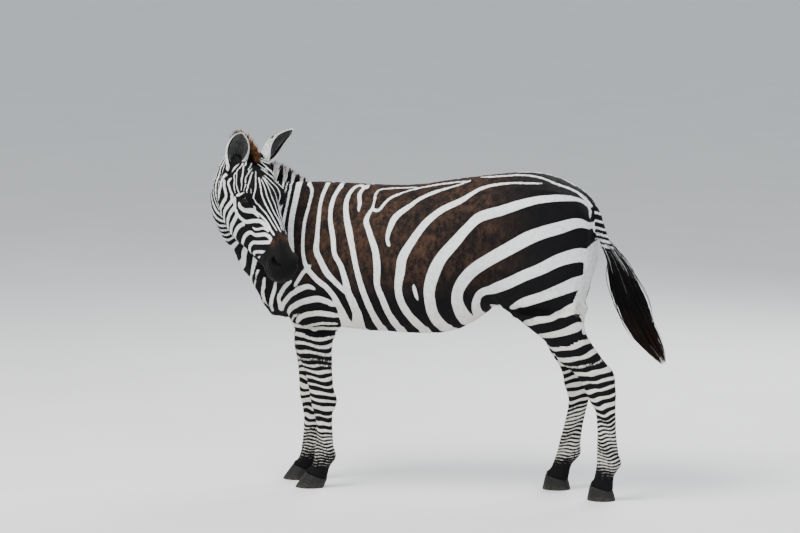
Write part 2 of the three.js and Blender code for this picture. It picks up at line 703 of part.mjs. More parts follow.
// One cross-section of the mane: foot on the crest, hair along up, sunk a little into the flesh.
function maneRing(foot, up, along, height, thick) {
  const side = along.clone().cross(up).normalize();
  const at = (h, w) => foot.clone().addScaledVector(up, h).addScaledVector(side, w);
  const half = [[-16, 1], [height * 0.35, 1.05], [height * 0.8, 0.75], [height, 0.3]];
  const points = half.map(([h, w]) => at(h, w * thick));
  points.push(...half.reverse().map(([h, w]) => at(h, -w * thick)));
  return { centre: at(height * 0.3, 0), points };
}

function maneBody() {
  const rings = [];
  let last = null;
  const push = (top, up, height, thick) => {
    rings.push(maneRing(top, up, last ? top.clone().sub(last) : V(0, -1, 0.1), height, thick));
    last = top;
  };
  for (let i = 0; i <= MANE_COUNT; i += 1) {
    const t = lerp(1.05, 7.55, i / MANE_COUNT);
    const foot = V(...NECK.at(t).slice(0, 3));
    const up = V(...NECK.upAt(t)).normalize().lerp(V(0, 0.18, 0.98), clamp((3 - t) / 1.2, 0, 1)).normalize();
    const tooth = 1 + 0.035 * (i % 2 ? 1 : -1);
    const top = foot.clone().addScaledVector(up, reach(neckField, foot, up, 330));
    push(top, up, MANE_H * MANE_SHARE(i / MANE_COUNT)[0] * tooth, 15);
  }
  for (const [u, lean, share] of FORELOCK) {
    const foot = headPoint(u, 0, 0);
    const top = foot.clone().addScaledVector(HEAD_V, reach(neckField, foot, HEAD_V, 200));
    push(top, mix(HEAD_V, Math.sin(lean), HEAD_U, -Math.cos(lean)), MANE_H * share, 14);
  }
  return loft(rings);
}

// ---------------------------------------------------------------- tail
const TAIL = curve([
  // x, y, z, half depth, half width, by key
  [0, 0, 1160, 1212, 27, 30],
  [1, 0, 1192, 1182, 26, 28],
  [2, 0, 1212, 1140, 24, 26],
  [3, 2, 1228, 1095, 23, 24],
  [4, 4, 1247, 1046, 24, 24],
  [5, 6, 1280, 992, 31, 29],
  [6, 6, 1308, 925, 44, 38],
  [7, 6, 1343, 835, 54, 46],
  [8, 6, 1385, 740, 54, 46],
  [9, 6, 1432, 655, 40, 36],
  [10, 6, 1476, 588, 18, 18],
  [10.6, 6, 1497, 545, 5, 5],
]);

function tailBody(from, to, steps, count) {
  const rings = [];
  for (let i = 0; i <= steps; i += 1) {
    const key = lerp(from, to, i / steps);
    const [x, y, z, h, w] = TAIL(key);
    const [px, py, pz] = TAIL(key - 0.2);
    const [qx, qy, qz] = TAIL(key + 0.2);
    const along = V(qx - px, qy - py, qz - pz).normalize();
    const side = V(1, 0, 0).addScaledVector(along, -along.x).normalize();
    const back = along.clone().cross(side);
    const centre = V(x, y, z);
    if (i === 0 && from > 0) centre.addScaledVector(along, CUT / 2);
    if (i === steps && to < 10) centre.addScaledVector(along, -CUT / 2);
    const points = [];
    for (let k = 0; k < count; k += 1) {
      const angle = (2 * Math.PI * k) / count;
      points.push(centre.clone().add(mix(side, w * Math.cos(angle), back, h * Math.sin(angle))));
    }
    rings.push({ centre, points });
  }
  return loft(rings);
}

// ---------------------------------------------------------------- leg nodes
function legBody(name, heights, count) {
  const { spine, side } = LEGS[name];
  const field = (p) => Math.max(bodyField(p), 9 - side * p.x);
  return loft(heights.map((z) => {
    const [x, y] = spine(z);
    return ring(field, V(x, y, z), V(1, 0, 0), V(0, 1, 0), count, 320);
  }));
}

// Hoof: a flat sole, walls that slope in to a tilted coronet; toe is where the sole starts before the leg.
const HOOF = {
  fore: { length: 124, width: 98, front: 64, heel: 36, toe: -88 },
  hind: { length: 122, width: 92, front: 62, heel: 38, toe: -58 },
};

function coronet(name) {
  const kind = HOOF[name.startsWith("fore") ? "fore" : "hind"];
  const [x, y] = LEGS[name].spine(0);
  const [cx, cy, h, w] = LEGS[name].spine(50);
  const toe = y + kind.toe;
  return { kind, x, toe, cx, cy, h, w };
}

// Height of the coronet at a place along the foot.
function coronetZ({ kind, cy, h }, y) {
  return lerp(kind.front, kind.heel, clamp((y - (cy - h)) / (2 * h), -0.2, 1.2));
}

const meanOf = (points) => points.reduce((sum, p) => sum.add(p), V()).divideScalar(points.length);

function hoofBody(name) {
  const foot = coronet(name);
  const { kind, x, toe, cx, cy, h, w } = foot;
  const count = 16;
  const rings = [0, 0.06, 1].map((t) => {
    const swell = t === 0 ? 0.97 : 1; // the sole's edge is rounded off
    const points = [];
    for (let i = 0; i < count; i += 1) {
      const angle = (2 * Math.PI * i) / count;
      const [c, s] = [Math.cos(angle), Math.sin(angle)];
      const narrow = s > 0 ? 1 - 0.1 * s * s : 1; // towards the heel
      const sx = x + (kind.width / 2) * c * narrow * swell;
      const sy = toe + kind.length / 2 + (kind.length / 2) * s * swell;
      const [tx, ty] = [cx + (w + 1.5) * c, cy + (h + 1.5) * s];
      const top = coronetZ(foot, ty) - CUT / 2;
      points.push(V(lerp(sx, tx, t), lerp(sy, ty, t), top * t));
    }
    return { centre: meanOf(points), points };
  });
  return loft(rings);
}

// The last rings of the lower leg lie on the coronet and follow its tilt.
function lowerLegBody(name, heights, count) {
  const { spine } = LEGS[name];
  const foot = coronet(name);
  const rings = heights.map((z) => {
    const [x, y] = spine(z);
    return ring(LEGS[name].field, V(x, y, z), V(1, 0, 0), V(0, 1, 0), count, 120);
  });
  const tilted = (lift, grow) => {
    const points = [];
    for (let i = 0; i < count; i += 1) {
      const angle = (2 * Math.PI * i) / count;
      const py = foot.cy + (foot.h + grow) * Math.sin(angle);
      points.push(V(foot.cx + (foot.w + grow) * Math.cos(angle), py, coronetZ(foot, py) + lift));
    }
    return { centre: meanOf(points), points };
  };
  rings.push(tilted(9, 0.5), tilted(CUT / 2, 0.5));
  return loft(rings);
}

// ---------------------------------------------------------------- put together
const COLOURS = {
  coat: 0xd8d2c6,
  stripe: 0x2a2522,
  hoof: 0x6b6259,
  eye: 0x1a120e,
};
const group = new THREE.Group();

function add(name, body, colour) {
  const geometry = new THREE.BufferGeometry();
  const numbers = new Float32Array(body.points.length * 3);
  body.points.forEach((p, i) => numbers.set([p.x, p.y, p.z], i * 3));
  geometry.setAttribute("position", new THREE.BufferAttribute(numbers, 3));
  geometry.setIndex(body.faces);
  geometry.computeVertexNormals();
  const material = new THREE.MeshStandardMaterial({ color: colour, roughness: 0.8 });
  const mesh = new THREE.Mesh(geometry, material);
  mesh.name = name;
  group.add(mesh);
}

// The body with every cutter taken off.
const minus = (body, ...cutters) =>
  surface(largest(cutters.reduce((left, cutter) => left.subtract(solid(cutter)), solid(body))));
// A neighbour to cut with: itself, and itself grown by the gap.
const clear = (body) => [body, grown(body, CUT)];

const trunk = trunkBody();
const skull = headBody();
const neckLow = minus(neckBody(0, NECK_MID), ...clear(skull));
const neckHigh = minus(neckBody(NECK_MID, NECK_KEYS.length - 1), ...clear(skull));

add("trunk", trunk, COLOURS.coat);
add("neck_lower", neckLow, COLOURS.coat);
add("neck_upper", neckHigh, COLOURS.coat);
add("head", minus(skull, eyeBall(1, CUT), eyeBall(-1, CUT)), COLOURS.coat);
for (const [name, side] of [["left", 1], ["right", -1]]) {
  add(`eye_${name}`, eyeBall(side, 0), COLOURS.eye);
  const { base, axis, open } = EARS[name];
  add(`ear_${name}`, minus(earBody(base, axis, open), ...clear(skull), ...clear(neckHigh)), COLOURS.coat);
}

const mane = minus(maneBody(), ...[skull, neckHigh, neckLow, trunk].flatMap(clear));
add("mane", mane, COLOURS.stripe);
add("tail_dock", minus(tailBody(-0.6, 4.6, 10, 11), ...clear(trunk)), COLOURS.coat);
add("tail_tuft", tailBody(4.6, 10.6, 10, 11), COLOURS.stripe);

const UPPER_FORE = [FORE_CUT_Z - CUT, 625, 580, 535, 490, 455, KNEE_CUT_Z + CUT / 2];
const LOWER_FORE = [KNEE_CUT_Z - CUT / 2, 400, 372, 345, 315, 270, 215, 178, 156, 138, 120, 103, 86];
const UPPER_HIND = [HIND_CUT_Z - CUT, 735, 695, 655, 615, 578, 550, 528, 508, 480, HOCK_CUT_Z + CUT / 2];
const LOWER_HIND = [HOCK_CUT_Z - CUT / 2, 410, 380, 340, 280, 225, 190, 168, 148, 128, 108, 88];
for (const name of Object.keys(LEGS)) {
  const fore = name.startsWith("fore");
  const [upper, lower, around] = fore ? [UPPER_FORE, LOWER_FORE, 16] : [UPPER_HIND, LOWER_HIND, 18];
  add(`leg_${name}_upper`, legBody(name, upper, around), COLOURS.coat);
  add(`leg_${name}_lower`, lowerLegBody(name, lower, 14), COLOURS.coat);
  add(`hoof_${name}`, hoofBody(name), COLOURS.hoof);
}

// Rest the model on the ground with the bottom centre of its bounding box at the origin.
const box = new THREE.Box3().setFromObject(group);
const centre = box.getCenter(V());
group.position.set(-centre.x, -centre.y, -box.min.z);
group.updateMatrixWorld(true);

export default group;
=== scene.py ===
"""A standing plains zebra, life size, with its head turned back over its left shoulder.

One skin is grown over the frame's flesh nodes. Coat tufts, mane, tail hair, eyes and hooves are
separate solid meshes. Lengths are metres in the scene, and millimetres in the head's own frame.
"""

import math
from contextlib import contextmanager

import bmesh
import bpy
import numpy as np
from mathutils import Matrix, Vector
from mathutils.bvhtree import BVHTree
from mathutils.kdtree import KDTree


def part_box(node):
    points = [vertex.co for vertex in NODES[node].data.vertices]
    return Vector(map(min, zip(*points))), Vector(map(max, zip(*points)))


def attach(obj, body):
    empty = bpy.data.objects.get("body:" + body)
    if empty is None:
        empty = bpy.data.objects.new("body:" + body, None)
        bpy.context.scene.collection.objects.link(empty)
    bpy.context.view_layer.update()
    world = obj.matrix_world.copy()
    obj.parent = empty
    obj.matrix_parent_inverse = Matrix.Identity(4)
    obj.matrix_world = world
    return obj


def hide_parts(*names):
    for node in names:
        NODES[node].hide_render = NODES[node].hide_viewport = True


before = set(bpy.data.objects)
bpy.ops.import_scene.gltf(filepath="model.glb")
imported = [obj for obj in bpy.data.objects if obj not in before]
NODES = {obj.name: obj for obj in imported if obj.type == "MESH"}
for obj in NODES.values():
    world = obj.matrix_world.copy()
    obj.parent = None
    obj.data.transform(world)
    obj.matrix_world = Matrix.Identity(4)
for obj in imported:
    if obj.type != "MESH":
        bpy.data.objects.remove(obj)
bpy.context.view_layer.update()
RNG = np.random.default_rng(7)

SIDES = (1, -1)  # left, right
LEGS = ("fore_left", "fore_right", "hind_left", "hind_right")
FLESH = ["trunk", "neck_lower", "neck_upper", "head", "tail_dock"]
FLESH += [f"leg_{leg}_{part}" for leg in LEGS for part in ("upper", "lower")]
VOXEL = 0.0082  # the skin's first mesh
JOIN = 0.0006  # each node swells by this, so that the thin cuts between nodes close


# ---------------------------------------------------------------- frames of reference
def unit(v):
    v = np.asarray(v, float)
    return v / np.maximum(np.linalg.norm(v, axis=-1, keepdims=True), 1e-12)


def box_centre(node):
    """The middle of a CAD node's box."""
    low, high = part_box(node)
    return (np.array(low) + np.array(high)) / 2


def turned_head():
    """The head's own axes as rows: U down the face, V out of the forehead, W to the animal's left."""
    turn, tilt, side = math.radians(38), math.radians(34), math.radians(103)
    facing = np.array([math.sin(side), -math.cos(side), 0.0])
    facing = math.cos(turn) * facing + math.sin(turn) * np.array([math.cos(side), math.sin(side), 0.0])
    up = np.array([0.0, 0.0, 1.0])
    u = math.sin(tilt) * facing - math.cos(tilt) * up
    v = math.cos(tilt) * facing + math.sin(tilt) * up
    return np.array([u, v, np.cross(up, facing)])


HEAD = turned_head()
EYE = np.array([201.0, 42.0, 87.0])  # eyeball centre, mm in the head's frame
EYE_R = 20.0
EYE_NODES = {1: "eye_left", -1: "eye_right"}
EYES = {side: box_centre(name) for side, name in EYE_NODES.items()}
POLL = (EYES[1] + EYES[-1]) / 2 - (EYE[0] * HEAD[0] + EYE[1] * HEAD[1]) / 1000
BODY = POLL - np.array([0.270, -0.215, 1.378])  # where the body's own origin stands
MID = BODY[0]  # the body's middle plane


def to_head(points):
    """Scene in metres to head frame in millimetres."""
    return (np.asarray(points) - POLL) @ HEAD.T * 1000


def from_head(points):
    """Head frame in millimetres to the scene in metres."""
    return np.asarray(points, float) / 1000 @ HEAD + POLL


def catmull(rows, n_out):
    """n_out points evenly spread in row number on a smooth curve through the rows."""
    return along(rows, np.linspace(0, len(rows) - 1, n_out))


def along(rows, t):
    """Points at row numbers t, which may be fractions, on a smooth curve through the rows."""
    p = np.asarray(rows, float)
    t = np.clip(np.atleast_1d(t), 0, len(p) - 1)
    i = np.minimum(t.astype(int), len(p) - 2)
    f = (t - i)[:, None]
    a, b, c, d = (p[np.clip(i + k, 0, len(p) - 1)] for k in (-1, 0, 1, 2))
    m0, m1 = (c - a) / 2, (d - b) / 2
    return ((2 * f**3 - 3 * f**2 + 1) * b + (f**3 - 2 * f**2 + f) * m0
            + (3 * f**2 - 2 * f**3) * c + (f**3 - f**2) * m1)


def at_value(rows, x):
    """The columns after the first, on a smooth curve, where the first column is x."""
    p = np.asarray(rows, float)
    key, order = p[:, 0], np.arange(len(p))
    if key[0] > key[-1]:
        key, order = key[::-1], order[::-1]
    return along(p[:, 1:], np.interp(x, key, order))


def step(x, low, high):
    """0 at low to 1 at high, with soft ends. low may be above high."""
    t = np.clip((np.asarray(x, float) - low) / (high - low), 0, 1)
    return t * t * (3 - 2 * t)


def bell(points, centre, radii):
    """1 at the centre, and soon 0 outside the radii."""
    return np.exp(-(((points - np.asarray(centre, float)) / np.asarray(radii, float)) ** 2).sum(-1))


def smallest(*values):
    return np.minimum.reduce(values)


# ---------------------------------------------------------------- meshes
def new_object(name, mesh):
    obj = bpy.data.objects.new(name, mesh)
    bpy.context.scene.collection.objects.link(obj)
    return obj


def fetched(items, field, width, kind=np.float32):
    """A field of a mesh's points, edges or corners, as rows of so many numbers."""
    values = np.empty(len(items) * width, kind)
    items.foreach_get(field, values)
    return values.reshape(-1, width)


def coords(mesh):
    return fetched(mesh.vertices, "co", 3).astype(float)


def normals(mesh):
    return fetched(mesh.vertices, "normal", 3).astype(float)


def edge_list(mesh):
    return fetched(mesh.edges, "vertices", 2, np.int32)


def triangles(mesh):
    mesh.calc_loop_triangles()
    return fetched(mesh.loop_triangles, "vertices", 3, np.int32)


def set_coords(mesh, co):
    mesh.vertices.foreach_set("co", np.ascontiguousarray(co, np.float32).ravel())
    mesh.update()


@contextmanager
def edited(mesh):
    """The mesh opened as a BMesh, and written back at the end."""
    bm = bmesh.new()
    bm.from_mesh(mesh)
    yield bm
    bm.to_mesh(mesh)
    bm.free()


def raw_mesh(name, co, faces):
    """A smooth mesh from its points and an (n, 3) or (n, 4) array of faces."""
    mesh = bpy.data.meshes.new(name)
    mesh.vertices.add(len(co))
    mesh.vertices.foreach_set("co", np.ascontiguousarray(co, np.float32).ravel())
    mesh.loops.add(faces.size)
    mesh.loops.foreach_set("vertex_index", faces.ravel().astype(np.int32))
    mesh.polygons.add(len(faces))
    mesh.polygons.foreach_set("loop_start", np.arange(0, faces.size, faces.shape[1], dtype=np.int32))
    mesh.update(calc_edges=True)
    mesh.validate()
    mesh.shade_smooth()
    return mesh


def ring_quads(rings, around):
    """Faces between rings of points, where each ring closes on itself."""
    ring, at = np.divmod(np.arange((rings - 1) * around), around)
    low, after = ring * around, (at + 1) % around
    return np.stack([low + at, low + after, low + around + after, low + around + at], 1)


def welded(node):
    """(points, normals, faces) of a CAD node with its split corners merged."""
    bm = bmesh.new()
    bm.from_mesh(NODES[node].data)
    bmesh.ops.remove_doubles(bm, verts=bm.verts, dist=1e-6)
    bm.normal_update()
    co = np.array([v.co for v in bm.verts])
    nor = np.array([v.normal for v in bm.verts])
    faces = np.array([[v.index for v in f.verts] for f in bm.faces])
    bm.free()
    return co, nor, faces


def relax(co, edges, rounds, weight):
    """Evens a mesh out and keeps its volume. weight is 0 to 1 for each point."""
    a, b = edges[:, 0], edges[:, 1]
    count = np.bincount(np.concatenate([a, b]), minlength=len(co)).clip(1)[:, None]
    weight = np.asarray(weight, float).reshape(-1, 1)
    for factor in (0.5, -0.52) * rounds:
        total = np.stack([np.bincount(a, co[b, k], len(co)) + np.bincount(b, co[a, k], len(co))
                          for k in range(3)], 1)
        co = co + factor * weight * (total / count - co)
    return co


def modified(obj, kind, **settings):
    """The mesh of obj with one modifier applied. obj is removed."""
    mod = obj.modifiers.new(kind, kind)
    for key, value in settings.items():
        setattr(mod, key, value)
    bpy.context.view_layer.update()
    mesh = bpy.data.meshes.new_from_object(obj.evaluated_get(bpy.context.evaluated_depsgraph_get()))
    old = obj.data
    bpy.data.objects.remove(obj)
    bpy.data.meshes.remove(old)
    return mesh


def subdivided(mesh, inside):
    """Cuts each face in four where inside(points) holds for all its corners."""
    with edited(mesh) as bm:
        flags = inside(np.array([v.co for v in bm.verts]))
        edges = [e for e in bm.edges if flags[e.verts[0].index] and flags[e.verts[1].index]]
        bmesh.ops.subdivide_edges(bm, edges=edges, cuts=1, use_grid_fill=True)


# ---------------------------------------------------------------- skin: form
def first_skin():
    """All flesh nodes as one closed even mesh that runs on into the hooves and round the eyes."""
    points, faces, base = [], [], 0
    for name in FLESH + [f"hoof_{leg}" for leg in LEGS] + list(EYE_NODES.values()):
        co, nor, tri = welded(name)
        if name in FLESH:
            co = co + nor * JOIN
        elif name.startswith("hoof"):
            middle = co.mean(0)
            co = middle + (co - middle) * [0.86, 0.86, 1.0]
            co[:, 2] = np.where(co[:, 2] < 0.02, 0.016, co[:, 2] + 0.004)
        points.append(co)
        faces.append(tri + base)
        base += len(co)
    obj = new_object("first", raw_mesh("first", np.concatenate(points), np.concatenate(faces)))
    mesh = modified(obj, "REMESH", mode="VOXEL", voxel_size=VOXEL, adaptivity=0.0)
    with edited(mesh) as bm:
        keep_largest(bm)
    return mesh


def keep_largest(bm):
    """Deletes every loose piece but the largest, such as the inside of a gap."""
    bm.verts.ensure_lookup_table()
    seen, shells = set(), []
    for start in bm.verts:
        if start.index in seen:
            continue
        shell, todo = [], [start]
        seen.add(start.index)
        while todo:
            v = todo.pop()
            shell.append(v)
            for e in v.link_edges:
                w = e.other_vert(v)
                if w.index not in seen:
                    seen.add(w.index)
                    todo.append(w)
        shells.append(shell)
    shells.sort(key=len)
    bmesh.ops.delete(bm, geom=[v for s in shells[:-1] for v in s], context="VERTS")


def near_head(co, reach=0.0):
    """Whether points lie on the head. reach in mm moves the border on to the neck."""
    p = to_head(co)
    return ((p[:, 0] + p[:, 1] + 43 + reach > 0) & (np.abs(p[:, 2]) < 128)
            & (p[:, 1] > -225) & (p[:, 0] < 620) & (p[:, 1] < 190))


def near_eye(co, reach):
    p = to_head(co)
    p[:, 2] = np.abs(p[:, 2])
    return near_head(co) & (np.linalg.norm(p - EYE, axis=1) < reach)


def legs_and_head(co):
    return near_head(co, 30) | (co[:, 2] < 0.46)


def eyes_and_muzzle(co):
    return near_eye(co, 62) | (near_head(co) & (to_head(co)[:, 0] > 415))


def lid_region(co):
    return near_eye(co, 38)


def build_skin():
    """The skin's mesh, evened out, with ever smaller faces towards the eyes."""
    mesh = first_skin()
    co = coords(mesh)
    weight = np.where(near_head(co, 10), 0.45, 1.0 - 0.65 * step(co[:, 2], 0.62, 0.42))
    set_coords(mesh, relax(co, edge_list(mesh), 34, weight))
    for inside, rounds in ((legs_and_head, 5), (eyes_and_muzzle, 4), (lid_region, 3)):
        subdivided(mesh, inside)
        co = coords(mesh)
        set_coords(mesh, relax(co, edge_list(mesh), rounds, inside(co) * 0.9))
    return mesh


def coat_depth(co):
    """How far the skin lies inside the tips of the coat: least on the legs and the muzzle."""
    depth = 0.0042 - 0.0022 * step(co[:, 2], 0.5, 0.38)
    face = 0.0022 - 0.0012 * step(to_head(co)[:, 0], 120, 330)
    return np.where(near_head(co, 10), face, depth)


def sculpt_head(p):
    """Lids, nostrils, lips and folds. p is in the head's frame, and comes back moved."""
    q = p.copy()
    side = np.where(p[:, 2] >= 0, 1.0, -1.0)
    q[:, 2] = np.abs(p[:, 2])

    # the mouth: a crease right round between the lips, up to its corner
    mouth = np.array([[560, -50], [520, -49], [480, -43], [450, -46], [428, -54]], float)
    d, t = distance_to_path(q[:, :2], mouth)
    fade = step(t, 4.0, 3.3)
    q += fold(q, d, 3.4, 3.6 * fade)
    q += fold(q, np.abs(d - 8), 4.5, -1.1 * fade)

    # nostril: a comma along the muzzle, its foot turned to the middle, with a raised rim behind it
    nose = np.array([486.0, 33.0, 56.0])
    r = q - nose
    long = r @ unit([0.92, 0.24, -0.30])
    wide = r @ unit([-0.18, 0.92, -0.35])
    curl = wide - 0.010 * long * long + 2
    hole = np.exp(-((long / 25) ** 4) - ((curl / 8.5) ** 4)) * bell(q, nose, [60, 55, 55]) ** 0.3
    rim = np.exp(-(((np.hypot(long / 25, curl / 9.0) - 1.30) / 0.33) ** 2)) * bell(q, nose, [52, 48, 44])
    q += hole[:, None] * np.array([-5.0, -7.0, -17.0])
    q += rim[:, None] * np.array([0.5, 1.1, 3.0])

    # wrinkles over the nose and lips
    front = step(q[:, 0], 420, 470)
    ripple = np.sin(q[:, 0] * 0.42 + 0.05 * q[:, 1] + 1.4 * np.sin(q[:, 1] * 0.09))
    ripple = ripple * step(q[:, 1], 34, 8) * step(q[:, 1], -90, -60) * (1 - np.clip(hole + rim, 0, 1))
    q[:, 2] += 0.55 * ripple * front

    q = lids(q)
    q[:, 2] *= side
    return q


def distance_to_path(p, path):
    """(distance, place along it in path numbers) of 2-D points from a smooth path."""
    line = catmull(path, 12 * len(path))
    place = np.linspace(0, len(path) - 1, len(line))
    best, at = np.full(len(p), 1e9), np.zeros(len(p))
    for a, b, ta, tb in zip(line[:-1], line[1:], place[:-1], place[1:]):
        f = np.clip(((p - a) @ (b - a)) / ((b - a) @ (b - a)), 0, 1)
        d = np.linalg.norm(p - a - f[:, None] * (b - a), axis=1)
        closer = d < best
        best = np.where(closer, d, best)
        at = np.where(closer, ta + f * (tb - ta), at)
    return best, at


def fold(q, d, width, depth):
    """Moves that press a crease of that depth towards the head's long axis."""
    inward = np.stack([np.zeros(len(q)), -30 - q[:, 1], -q[:, 2]], 1)
    front = step(q[:, 0], 505, 545)[:, None]
    inward = unit(inward) * (1 - front) + np.array([-1.0, 0, 0]) * front
    return inward * (np.exp(-((d / width) ** 2)) * depth)[:, None]


LID_AXIS = unit([0.13, 0.46, 0.88])  # where the eye looks
LID_LONG = unit(np.cross([0, 1, 0.0], LID_AXIS))  # towards the muzzle, the front corner
LID_LONG = unit(LID_LONG + 0.62 * np.cross(LID_AXIS, LID_LONG))
LID_UP = np.cross(LID_AXIS, LID_LONG)
LID_HALF, LID_TOP, LID_LOW = 23.5, 13.0, 11.5  # the opening's half length, and its reach up and down, mm


LID_CREASES = (  # depth, how far outside the opening, width, mm; above (1) or below (-1) it, from and to
    (2.2, 8.5, 2.0, 1, 0, 8), (1.6, 15.5, 2.4, 1, 2, 12),
    (1.2, 7.5, 2.0, -1, 1, 7), (0.9, 13, 2.2, -1, 3, 10),
)


def lid_gap(x, y):
    """How far a place in the lids' plane lies outside the opening between them, in mm."""
    bow = 1 - (x / LID_HALF) ** 2
    out = np.maximum(y - LID_TOP * bow, -LID_LOW * bow - y)
    return np.where(np.abs(x) > LID_HALF, np.hypot(np.abs(x) - LID_HALF, y), out)


def lids(q):
    """Opens the lids round the eyeball, and folds the skin over them."""
    r = q - EYE
    x, y, z = r @ LID_LONG, r @ LID_UP, r @ LID_AXIS
    far = np.hypot(x, y)
    near = (far < 50) & (z > -25)
    out = lid_gap(x, y)
    ball = EYE_R + 2.6
    dome = np.sqrt(np.maximum(ball**2 - np.minimum(far, 0.84 * ball) ** 2, 0))
    shell = dome - 0.80 * np.maximum(far - 0.84 * ball, 0)
    lid = shell + 1.1 * np.exp(-((out - 1.7) / 1.7) ** 2)
    crease = sum(deep * np.exp(-(((out - at) / wide) ** 2)) * step(way * y, low, high)
                 for deep, at, wide, way, low, high in LID_CREASES)
    hold = 1 - step(out, 4, 24)
    height = z * (1 - hold) + lid * hold
    height = np.where(out < 0, np.minimum(height, shell - 6.5), height) - crease * step(far, 46, 30)
    return q + np.where(near, height - z, 0)[:, None] * LID_AXIS


MUSCLES = [
    # centre on either flank (y, z), radii, push in mm: + swells, - hollows
    [-0.42, 0.80, 0.05, 0.12, 4], [-0.33, 0.86, 0.03, 0.14, -4], [-0.52, 1.02, 0.03, 0.16, -3],
    [-0.46, 1.14, 0.05, 0.12, 3], [0.36, 0.86, 0.07, 0.10, -7], [0.60, 1.12, 0.10, 0.08, 4],
    [0.70, 0.90, 0.03, 0.16, -4], [0.32, 1.14, 0.06, 0.06, -5], [0.44, 1.20, 0.04, 0.04, 4],
    [-0.50, 0.80, 0.04, 0.05, 3], [0.55, 0.76, 0.03, 0.12, -3],
]


def sculpt_body(co, nor):
    """Muscle and bone under the skin of the flanks."""
    push = np.zeros(len(co))
    flank = np.abs(nor[:, 0]) * (~near_head(co, 30))
    for y, z, ry, rz, size in MUSCLES:
        push += size * np.exp(-(((co[:, 1] - y) / ry) ** 2) - (((co[:, 2] - z) / rz) ** 2)) * flank
    return co + nor * (push / 1000)[:, None]


def shape_skin(mesh):
    """Draws the skin in by the coat's depth, and models body and head."""
    co, nor = coords(mesh), normals(mesh)
    co = sculpt_body(co - nor * coat_depth(co)[:, None], nor)
    head = near_head(co)
    co[head] = from_head(sculpt_head(to_head(co[head])))
    set_coords(mesh, co)
    return mesh


